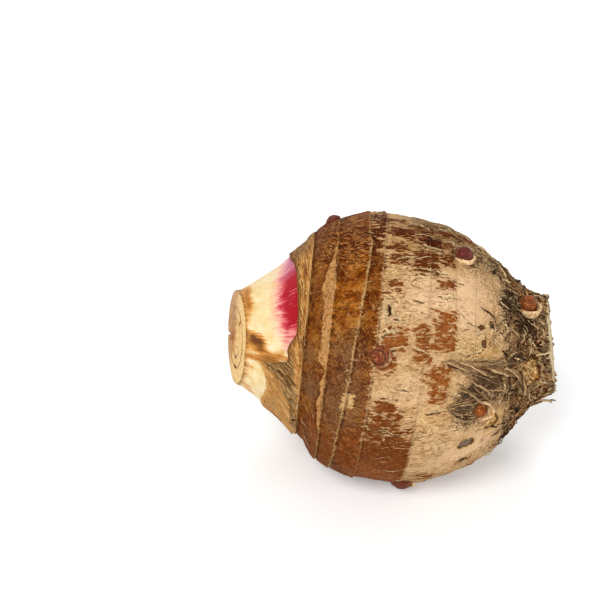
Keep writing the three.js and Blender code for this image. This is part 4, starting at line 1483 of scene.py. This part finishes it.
def makeDome(bud):
    around, levels = 72, 56
    piece, level, step = sphereGrid(bud["name"], around, levels)
    angle = step / around * 2 * math.pi
    share = 1 - level / levels
    share = 1 - (1 - share) ** 1.15
    tall = bud["height"] + budFoot
    heights, widths = [p[0] for p in budProfile], [p[1] for p in budProfile]
    circle = ringOf(angle, 3, share * tall)
    radius = np.interp(share, heights, widths)
    fromEdge = np.full(len(share), 3.0)
    for i, at in enumerate(bud["scales"]):
        lap = share - at - 0.1 * np.cos(angle - 2.4 * i - bud["x"]) - 0.05 * noiseAt(circle, 1.2, 41 + i, 2)
        radius = radius + 0.075 * smoothStep(0.02, -0.03, lap)
        fromEdge = np.minimum(fromEdge, np.abs(lap) * tall + (lap > 0) * 0.3)
    radius = np.where((share <= 0) | (share >= 1), 0, radius / (1 + 0.075 * len(bud["scales"])))
    radius = radius * bud["radius"] * (1.1 + 0.05 * noiseAt(circle, 1.6, 45))
    layBud(piece, bud, share * tall * (1 + 0.03 * noiseAt(circle, 1.5, 46)), radius, angle)
    paint(piece, fromEdge=fromEdge, tone=np.full(len(share), bud["tone"]), pale=np.zeros(len(share)))
    return piece


def makeCup(bud):
    # the pale foot that a bud stands in, highest on one side
    piece, angle, inOut, upDown = plainTorus(bud["name"] + "Cup", 96, 20)
    facing = 0.5 + 0.5 * np.cos(angle - math.radians(bud["cup"]))
    circle = ringOf(angle, 3)
    tall = bud["cupHeight"] * facing ** 1.4 + 0.25 * noiseAt(circle, 0.9, 51, 2)
    rise = budFoot + 0.2 - (1 - facing) ** 2
    rise = rise + np.where(upDown > 0, upDown * np.maximum(tall, 0.1), upDown * 1.1)
    wide = 1.02 + (bud["cupWide"] - 1.02) * facing ** 1.4
    thick = 0.07 + 0.15 * facing ** 1.4
    radius = bud["radius"] * (wide + thick * inOut + 0.04 * np.maximum(upDown, 0) - 0.1 * np.maximum(-upDown, 0))
    layBud(piece, bud, rise, radius, angle)
    paint(
        piece, fromEdge=0.25 + 1.5 * (1 - np.maximum(upDown, 0)), tone=np.full(len(angle), bud["tone"]),
        pale=(0.1 + 0.9 * facing) * bud.get("dull", 1.0))
    faceOutwards()
    return piece


def joinPieces(pieces):
    clearSelection()
    for piece in pieces:
        piece.select_set(True)
    bpy.context.view_layer.objects.active = pieces[0]
    bpy.ops.object.join()
    smoothUpTo(60)
    return pieces[0]


bracts = {
    "count": 46,
    "lidEvery": 3,           # a lid is a broad bract, the rest are thin dry threads
    "steps": 14,
    "skinRadius": 41,        # of the corm beside the bud
    "fringe": 46,
}


def makeBracts(bud):
    # dry bracts parted round the bud like an eye, whose corner points to the stalks
    draw = random.Random(17)
    steps, skinRadius = bracts["steps"], bracts["skinRadius"]
    made = []
    for k in range(bracts["count"]):
        upper, lid = k % 5 < 3, k % bracts["lidEvery"] == 0
        wide = draw.uniform(2.2, 4.8) if upper else draw.uniform(1.4, 3.4)
        reach, past = draw.uniform(8.8, 10.6), draw.uniform(-0.5, 4.5) if upper else draw.uniform(-2.0, 1.5)
        half = draw.uniform(0.35, 0.6) if lid else draw.uniform(0.08, 0.18)
        high = draw.uniform(0.2, 0.8) if lid else draw.uniform(0.4, 1.4)
        spots = []
        for i in range(steps + 1):
            share = i / steps
            arch = math.sin(math.pi * (0.7 * share + 0.02)) ** 0.9
            up = 3.2 * (1 - share) + wide * arch * (1 if upper else -1)
            x = bud["x"] - reach + share * (reach + past)
            degrees = bud["turn"] + math.degrees((up + draw.uniform(-0.1, 0.1)) / skinRadius)
            bulge = math.sin(math.pi * share)
            spots.append((*onCorm(x, degrees, 0.1 + high * bulge), half * (0.25 + 0.75 * bulge), 0.1))
        tone = draw.uniform(0.25, 0.5) if lid else draw.choice([draw.uniform(0, 0.15), draw.uniform(0.6, 0.95)])
        made.append((layStrip(spots), tone))
    for _ in range(bracts["fringe"]):   # pale crumbs below it
        angle = math.radians(draw.uniform(40, 150))
        away = draw.uniform(2.6, 4.4)
        x = bud["x"] - away * math.cos(angle)
        degrees = bud["turn"] - math.degrees(away * math.sin(angle) / skinRadius)
        strip = strandOn(draw, x, degrees, draw.uniform(0, 360), draw.uniform(0.8, 2.2), curl=40, off=0.15,
                         wide=draw.uniform(0.08, 0.2), thick=0.1, steps=5)
        made.append((strip, draw.uniform(0.6, 1) if draw.random() < 0.6 else draw.uniform(0, 0.3)))
    return made


def budMaterial():
    material, shader = startMaterial("budScale", roughness=0.5, specular=0.1)
    spot = millimetres()
    tone = painted("tone")
    grain = cloud(spot, 1.0, detail=4.0, roughness=0.6)
    fine = cloud(spot, 0.3, detail=3.0, roughness=0.6)
    scale = blend(tone, (98, 30, 40), (148, 76, 26))
    scale = layers(scale, [
        (grain, 0.45, 0.6, 0.0, 0.8, blend(tone, (62, 26, 14), (98, 46, 14))),
        (grain, 0.44, 0.36, 0.0, 0.7, blend(tone, (146, 88, 50), (204, 132, 66))),
        (fine, 0.54, 0.64, 0.0, 0.5, (58, 28, 18))])
    gap = nudged(painted("fromEdge"), fine, 0.5)
    scale = over(scale, between(gap, 0.1, 0.32, 0.85, 0.0), (62, 30, 16))
    tip = times(between(gap, 0.3, 0.6, 1.0, 0.0), between(gap, 0.2, 0.32))
    scale = over(scale, times(tip, 0.25), (190, 136, 86))
    foot = blend(between(grain, 0.42, 0.58), (196, 150, 98), (240, 212, 164))
    foot = over(foot, between(fine, 0.52, 0.6, 0.0, 0.7), (158, 108, 58))
    pale = nudged(painted("pale"), grain, 0.8)
    colour = over(scale, between(pale, 0.4, 0.65), foot)
    feed(shader.inputs["Base Color"], colour)
    bump(shader, plus(grain, times(fine, 0.5)), 0.3, 0.9)
    return material


budScale = budMaterial()
for bud in buds:
    settle(joinPieces([makeDome(bud), makeCup(bud)]), budScale, "bud_scale", bud["node"])
openBud = next(bud for bud in buds if bud["name"] == "budOpen")
settle(stripsPiece("budBracts", makeBracts(openBud)), driedFibre, "root_bark")
print("side buds")


# over: x, turn and how far off the skin; strands: how many threads are twisted together
roots = [
    {"name": "rootLong", "node": "root_long", "radius": 0.75, "strands": 5, "over": [
        (13.5, 25.8, 0.1), (21.5, 22.6, 0.4), (26.8, 19.7, 0.5), (32.1, 18.5, 0.5), (36.5, 15.1, 0.5), (39, 5.4, 0.5),
        (41.3, -7, 0.4), (44.6, -25, 0.1)]},
    {"name": "rootStubFront", "node": "root_stub_front", "radius": 0.65, "strands": 2, "over": [
        (44.6, -36, 0.1), (48, -37, 0.7), (51.5, -40, 2.4)]},
    {"name": "rootStubTop", "node": "root_stub_top", "radius": 0.6, "strands": 2, "over": [
        (38, 142, 0.1), (40, 146, 1), (41.5, 152, 2.6)]},
    {"name": "rootBack", "node": "root_back", "radius": 0.7, "strands": 3, "over": [
        (24, 150, 0.1), (31, 158, 0.1), (37, 170, 0.1), (41, 184, 0.1), (44, 200, 0.1)]},
    {"name": "rootStubBack", "node": "root_stub_back", "radius": 0.65, "strands": 2, "over": [
        (42, 226, 0.2), (45, 232, 0.9), (47, 240, 2.4)]},
    {"name": "rootUnder", "node": "root_under", "radius": 0.6, "strands": 2, "over": [
        (34, 272, 0.2), (38.5, 277, 0.2), (42, 282, 0.4), (44.5, 286, 0.8)]},
]


strandTones = (0.4, 0.66, 0.2, 0.52, 0.8)   # of a root's threads, one after another


def smoothPath(points, count):
    # an even, smoothly curved walk through the points
    walk = []
    spots = [points[0]] + points + [points[-1]]
    for i in range(count):
        at = i / (count - 1) * (len(points) - 1)
        k = min(int(at), len(points) - 2)
        t = at - k
        a, b, c, d = spots[k:k + 4]
        curved = (2 * a - 5 * b + 4 * c - d) * t ** 2 + (3 * b - a - 3 * c + d) * t ** 3
        walk.append(0.5 * (2 * b + (c - a) * t + curved))
    return walk


def makeStrand(name, path, ups, radius, seed, tone):
    # a plain sphere drawn out along a path, wrinkled and twisted as it dried
    around, levels = 12, len(path) + 1
    piece, level, step = sphereGrid(name, around, levels)
    angle = step / around * 2 * math.pi
    path, ups = np.array(path), np.array(ups)
    ahead = np.gradient(path, axis=0)
    ahead /= np.linalg.norm(ahead, axis=1)[:, None]
    side = np.cross(ahead, ups)
    side /= np.linalg.norm(side, axis=1)[:, None]
    up = np.cross(side, ahead)
    at = np.clip(level - 1, 0, len(path) - 1)
    share = at / (len(path) - 1)
    along = np.stack([share * len(path) * 0.4 + seed, np.cos(angle), np.sin(angle)], axis=1)
    ribs = 0.16 * np.cos(3 * angle + 14 * share * len(path) / 20)
    thick = 1 + 0.3 * noiseAt(along, [1.6, 3, 3], seed, 2) + ribs + 0.14 * noiseAt(along, 0.5, seed + 9)
    thick = radius * thick
    thick = thick * (0.45 + 0.55 * np.sin(math.pi * np.clip(share, 0.08, 0.92)) ** 0.5)
    thick = np.where((level == 0) | (level == levels), 0, thick)
    points = path[at] + side[at] * (thick * np.cos(angle) * 1.25)[:, None]
    points = points + up[at] * (thick * np.sin(angle) * 0.8)[:, None]
    writeCoords(piece, points * mm)
    paint(piece, tone=tone + 0.2 * noiseAt(along, [2, 0.6, 0.6], seed + 3, 2))
    return piece


def makeRoot(root, seed):
    count = 14 * len(root["over"])
    faced = [skinFrame(x, turn)[0] for x, turn, off in root["over"]]
    middle = smoothPath([skinPoint(x, turn) + up * (off + root["radius"] + 0.25)
                         for (x, turn, off), up in zip(root["over"], faced)], count)
    ups = smoothPath(faced, count)
    sides = [up.cross(middle[min(i + 1, count - 1)] - middle[max(i - 1, 0)]).normalized() for i, up in enumerate(ups)]
    made = []
    for k in range(root["strands"]):
        path = []
        for i, (spot, up, side) in enumerate(zip(middle, ups, sides)):
            phase = 2 * math.pi * k / root["strands"] + i * 0.16 + 0.8 * noise.noise(Vector((i * 0.08, seed, k)))
            apart = root["radius"] * (0.85 + 0.9 * noise.noise(Vector((i * 0.11, seed + 5, k))))
            path.append(spot + side * apart * 1.3 * math.cos(phase) + up * apart * 0.5 * math.sin(phase))
        made.append(makeStrand(root["name"], path, ups, root["radius"] * (0.62 - 0.1 * k), seed + k, strandTones[k]))
    return joinPieces(made)


for i, root in enumerate(roots):
    settle(makeRoot(root, 60 + 7 * i), driedFibre, "root_bark", root["node"])
print("dried roots")


# hairs and rootlets round the neck
hairs = {
    "tufts": [   # x, turn, spread, how many, shortest, longest, range of tones
        (35.8, 63, 3.6, 18, 2, 4.5, (0.7, 1.0)), (36, 63, 3.4, 34, 1.5, 4.5, (0.0, 0.15)),
        (45, 60, 3.0, 14, 2, 4.5, (0.1, 1.0)), (26, 12, 4.0, 40, 3, 8, (0.15, 0.7)),
        (30, 4, 4.5, 30, 3, 7, (0.1, 0.75)), (20, 3, 3.0, 16, 2.5, 6, (0.2, 0.7)),
        (33, 16, 6.0, 26, 4, 10, (0.25, 0.7)), (24, -7, 2.5, 14, 2.5, 5, (0.2, 0.9))],
    "deadRoots": [   # broader ones above the open bud: x, turn, heading, length, half width, tone
        (17.5, 14.0, -34, 13, 0.55, 0.6), (16.0, 11.0, -22, 9, 0.36, 0.42), (20.0, 17.5, -28, 12, 0.42, 0.7),
        (22.5, 13.0, -48, 8, 0.34, 0.55), (18.5, 9.0, -12, 6, 0.34, 0.3), (26.0, 12.0, -38, 9, 0.42, 0.62),
        (17.0, 17.0, -40, 10, 0.3, 0.5)],
    "alongRoot": 12,         # rootlets that run along with the long root
    "onHiddenSide": 70,
    "wide": 0.085,
    "thick": 0.07,
}


def neckHairs(draw):
    fine = {"wide": hairs["wide"], "thick": hairs["thick"]}
    made = []
    for x, turn, spreadOut, count, low, high, tones in hairs["tufts"]:
        for _ in range(count):
            spot = (draw.gauss(x, spreadOut * 0.5), turn + draw.gauss(0, spreadOut * 0.5) * 57 / 28)
            strip = strandOn(draw, *spot, draw.uniform(0, 360), draw.uniform(low, high), curl=34, off=0.12,
                             spring=draw.choice([0, 0.3, 0.9]), **fine)
            made.append((strip, draw.uniform(*tones)))
    for x, turn, heading, length, wide, tone in hairs["deadRoots"]:
        strip = strandOn(draw, x, turn, heading, length, curl=9, off=0.5, wide=wide, thick=0.3, steps=14, spring=0.9)
        made.append((strip, tone))
    for _ in range(hairs["alongRoot"]):
        spot = (draw.uniform(15, 26), 25 + draw.uniform(-4, 3))
        strip = strandOn(draw, *spot, draw.gauss(-13, 7), draw.uniform(9, 19), curl=8, off=0.35, wide=0.13, thick=0.1,
                         steps=14, spring=0.7)
        made.append((strip, draw.uniform(0.2, 0.85)))
    for _ in range(hairs["onHiddenSide"]):
        spot = (draw.uniform(32, 49), draw.uniform(95, 330))
        strip = strandOn(draw, *spot, draw.uniform(0, 360), draw.uniform(2, 7), curl=30, off=0.1, spring=0.4, **fine)
        made.append((strip, draw.uniform(0.1, 0.9)))
    return made


# flat strips of bark that lie along and across the neck, and frayed fibres along its cut
shreds = {
    "onNeck": 560,
    "onRim": 120,
    "bareScar": (42, 8.8, 5.5, 15),    # x, turn, half length, half turn: the root scar stays bare
    "hollow": (36.5, 62, 4),           # x, turn, radius: and so does the black hollow beside the neck bud
}


def neckShreds(draw):
    scarX, scarTurn, scarLength, scarWidth = shreds["bareScar"]
    hollowX, hollowTurn, hollowRadius = shreds["hollow"]
    made = []
    for _ in range(shreds["onNeck"]):
        x, turn = draw.uniform(32, 52) if draw.random() < 0.9 else draw.uniform(29, 34), draw.uniform(0, 360)
        if abs(x - scarX) < scarLength and abs((turn - scarTurn + 180) % 360 - 180) < scarWidth:
            continue
        if math.hypot(x - hollowX, (turn - hollowTurn) * 0.5) < hollowRadius:
            continue
        heading = draw.choice([0, 0, 90, 60, 120]) + draw.gauss(0, 25)
        tone = draw.uniform(0, 0.2) if draw.random() < 0.4 else draw.uniform(0.4, 1.0)
        strip = strandOn(draw, x, turn, heading, draw.uniform(1.6, 7), curl=24, off=0.2,
                         wide=draw.uniform(0.11, 0.42), thick=0.16, spring=draw.choice([0, 0.15, 0.5]))
        made.append((strip, tone))
    for _ in range(shreds["onRim"]):
        turn = draw.uniform(0, 360)
        x = rowPlace(form["neckRim"] - 1.6, turn)
        heading = draw.choice([0, 0, 80, 100]) + draw.gauss(0, 16)
        strip = strandOn(draw, x, turn, heading, draw.uniform(1.2, 2.4), curl=12, off=0.12, wide=0.16, thick=0.1,
                         steps=4)
        made.append((strip, draw.uniform(0.45, 1)))
    return made


def rowPlace(row, degrees):
    # where a leaning row lies along the corm at a turn
    return float(onRow(np.array([row]), np.array([math.radians(degrees)]))[0][0])


# hair-thin threads on the husk, and the torn fringe of its third ring
threads = {
    "loose": 30,
    "fringe": 150,
    "fringeRow": -15.0,
}


def huskThreads(draw):
    made = []
    for _ in range(threads["loose"]):
        spot = (draw.uniform(-28, -10), draw.uniform(0, 360) if draw.random() < 0.4 else draw.uniform(-50, 90))
        heading = draw.choice([55, 120, 75, 100]) + draw.gauss(0, 12)
        strip = strandOn(draw, *spot, heading, draw.uniform(5, 14), curl=9, off=0.05, wide=0.045, thick=0.04,
                         steps=10)
        made.append((strip, draw.uniform(0.45, 0.75)))
    for _ in range(threads["fringe"]):
        turn = draw.uniform(0, 360)
        x = rowPlace(threads["fringeRow"] + draw.uniform(-0.5, 0.2), turn)
        heading = draw.choice([0, 180, 90]) + draw.gauss(0, 20)
        strip = strandOn(draw, x, turn, heading, draw.uniform(0.8, 2.2), curl=16, off=0.08, wide=0.1, thick=0.07,
                         steps=4)
        made.append((strip, draw.uniform(0.5, 0.95)))
    return made


# loose fibres of the dry collar, which slant below the front stalk and run round above it
tatters = {
    "loose": 110,
    "low": (-35, 16),        # turns of the slanting ones
    "round": (20, 330),      # and of the others
    "atHusk": 26,            # torn shreds where it meets the husk below
}


def collarShreds(draw):
    made = []
    for _ in range(tatters["loose"]):
        low = draw.random() < 0.5
        turn = draw.uniform(*tatters["low"]) if low else draw.uniform(*tatters["round"])
        x = draw.uniform(float(freeEdge(turn)) + 0.4, collar["ring"] - 0.9)
        heading = draw.gauss(-42, 10) if low else draw.choice([88, -88]) + draw.gauss(0, 9)
        length = draw.uniform(1.5, 6) if low else draw.uniform(1, 3.5)
        strip = strandOn(draw, x, turn, heading, length, curl=6, off=0.06, wide=draw.uniform(0.06, 0.16), thick=0.07,
                         steps=8, spring=0.15)
        made.append((strip, draw.uniform(0.55, 1) if draw.random() < 0.6 else draw.uniform(0.1, 0.35)))
    for _ in range(tatters["atHusk"]):
        spot = draw.uniform(-35.5, -31.5), draw.uniform(-26, -2)
        strip = strandOn(draw, *spot, draw.gauss(-70, 25), draw.uniform(1.5, 4), curl=18, off=0.2,
                         wide=draw.uniform(0.1, 0.3), thick=0.1, steps=7, spring=0.6)
        made.append((strip, draw.uniform(0.6, 0.95) if draw.random() < 0.5 else draw.uniform(0, 0.25)))
    return made


# little raised edges where the outer skin split and dried, mostly along the corm
slivers = {
    "count": 140,
    "skinRadius": 42,
    "besideSplits": [(0.5, 0.85), (-0.4, 0.35)],   # mm to the side, tone
    "curled": [   # scales that curl up: x, turn, heading, length, tone
        (-4.6, 48.4, -75, 3.8, 0.1), (-3.6, 48, -80, 3.6, 0.85), (-3.0, 44, 100, 2.6, 0.9),
        (-6.8, 38.2, 16, 4.6, 0.95), (-5.6, 37.2, 24, 5.0, 0.8)],
}


def skinSlivers(draw):
    skinRadius = slivers["skinRadius"]
    made = []
    for _ in range(slivers["count"]):
        turn = draw.uniform(-55, 100) if draw.random() < 0.6 else draw.uniform(100, 300)
        x = draw.uniform(-7, 32)
        heading = draw.choice([0, 180]) + draw.gauss(0, 28)
        strip = strandOn(draw, x, turn, heading, draw.uniform(1.5, 6), curl=14, off=0.08,
                         wide=draw.uniform(0.08, 0.2), thick=0.09, steps=6, spring=draw.choice([0, 0, 0.2]))
        made.append((strip, draw.uniform(0.45, 1)))
    for fromX, fromTurn, toX, toTurn, gapes in splits + hiddenSplits():
        for side, tone in slivers["besideSplits"]:
            share = draw.uniform(0.1, 0.4)
            rise = math.radians(toTurn - fromTurn) * skinRadius
            heading = math.degrees(math.atan2(rise, toX - fromX)) + draw.gauss(0, 4)
            x = fromX + (toX - fromX) * share
            turn = fromTurn + (toTurn - fromTurn) * share + math.degrees(side / skinRadius)
            length = (toX - fromX) * draw.uniform(0.2, 0.45)
            strip = strandOn(draw, x, turn, heading, length, curl=7, off=0.08, wide=draw.uniform(0.07, 0.15),
                             thick=0.08, steps=8, spring=0.1)
            made.append((strip, tone))
    for x, turn, heading, length, tone in slivers["curled"]:
        strip = strandOn(draw, x, turn, heading, length, curl=14, off=0.2, wide=0.46, thick=0.3, steps=10, spring=0.9)
        made.append((strip, tone))
    return made


# how each is made, the seed of its draws, and its slot
wisps = {
    "neckHairs": (neckHairs, 71, "root_bark"),
    "neckShreds": (neckShreds, 72, "root_bark"),
    "huskThreads": (huskThreads, 73, "papery_sheath"),
    "skinSlivers": (skinSlivers, 74, "corm_skin"),
    "collarShreds": (collarShreds, 75, "papery_sheath"),
}
for name, (make, seed, slot) in wisps.items():
    settle(stripsPiece(name, make(random.Random(seed))), driedFibre, slot)
    print(name)


view = {
    "lens": 85,
    "distance": 480,
    "elevation": 30,
    "right": 31.8,           # how far the middle of the view lies to the left of the corm, and above it
    "above": 16.1,
}


def makeFloor():
    clearSelection()
    bpy.ops.mesh.primitive_plane_add(size=6)
    floor = bpy.context.object
    floor.name = "floor"
    material, shader = startMaterial("floorPaper", roughness=0.9, specular=0.1)
    shader.inputs["Base Color"].default_value = (0.9, 0.9, 0.9, 1)
    shader.inputs["Emission Color"].default_value = (1, 1, 1, 1)
    rays = newNode("ShaderNodeLightPath")
    seen = sums("MAXIMUM", rays.outputs["Is Camera Ray"], rays.outputs["Is Glossy Ray"])
    far = newNode("ShaderNodeVectorMath")   # the floor fades to white away from the object
    far.operation = "LENGTH"
    feed(far.inputs[0], newNode("ShaderNodeTexCoord").outputs["Object"])
    glow = between(far.outputs["Value"], 0.12, 0.6, 0.22, 1.0)
    feed(shader.inputs["Emission Strength"], times(seen, glow))
    floor.data.materials.append(material)


def makeLamp(name, spot, size, power):
    data = bpy.data.lights.new(name, "AREA")
    data.shape = "DISK"
    data.size = size
    data.energy = power
    lamp = bpy.data.objects.new(name, data)
    bpy.context.scene.collection.objects.link(lamp)
    lamp.location = spot
    lamp.rotation_euler = (Vector((0, 0, 0.04)) - Vector(spot)).to_track_quat("-Z", "Y").to_euler()


def makeWorld():
    world = bpy.data.worlds.new("studio")
    bpy.context.scene.world = world
    world.use_nodes = True
    building["tree"] = world.node_tree
    background = world.node_tree.nodes["Background"]
    rays = newNode("ShaderNodeLightPath")
    seen = sums("MAXIMUM", rays.outputs["Is Camera Ray"], rays.outputs["Is Glossy Ray"])
    feed(background.inputs["Color"], (1, 1, 1, 1))
    feed(background.inputs["Strength"], between(seen, 0.0, 1.0, 0.42, 1.0, smooth=False))


def makeCamera():
    data = bpy.data.cameras.new("camera")
    data.lens = view["lens"]
    camera = bpy.data.objects.new("camera", data)
    bpy.context.scene.collection.objects.link(camera)
    tilt = math.radians(view["elevation"])
    up = Vector((0, math.sin(tilt), math.cos(tilt)))
    ahead = Vector((0, math.cos(tilt), -math.sin(tilt)))
    middle = Vector((xZero - view["right"], 0, form["axisHeight"])) + up * view["above"]
    camera.location = (middle - ahead * view["distance"]) * mm
    camera.rotation_euler = (math.radians(90) - tilt, 0, 0)
    bpy.context.scene.camera = camera
    bpy.context.scene.view_settings.view_transform = "Standard"


makeFloor()
makeWorld()
makeLamp("keyLamp", (-0.5, -1.0, 1.1), 0.7, 15)
makeLamp("fillLamp", (0.9, -0.8, 0.5), 0.9, 5.5)
makeLamp("topLamp", (0.1, 0.6, 1.2), 0.8, 5)
makeCamera()
print("room and camera")
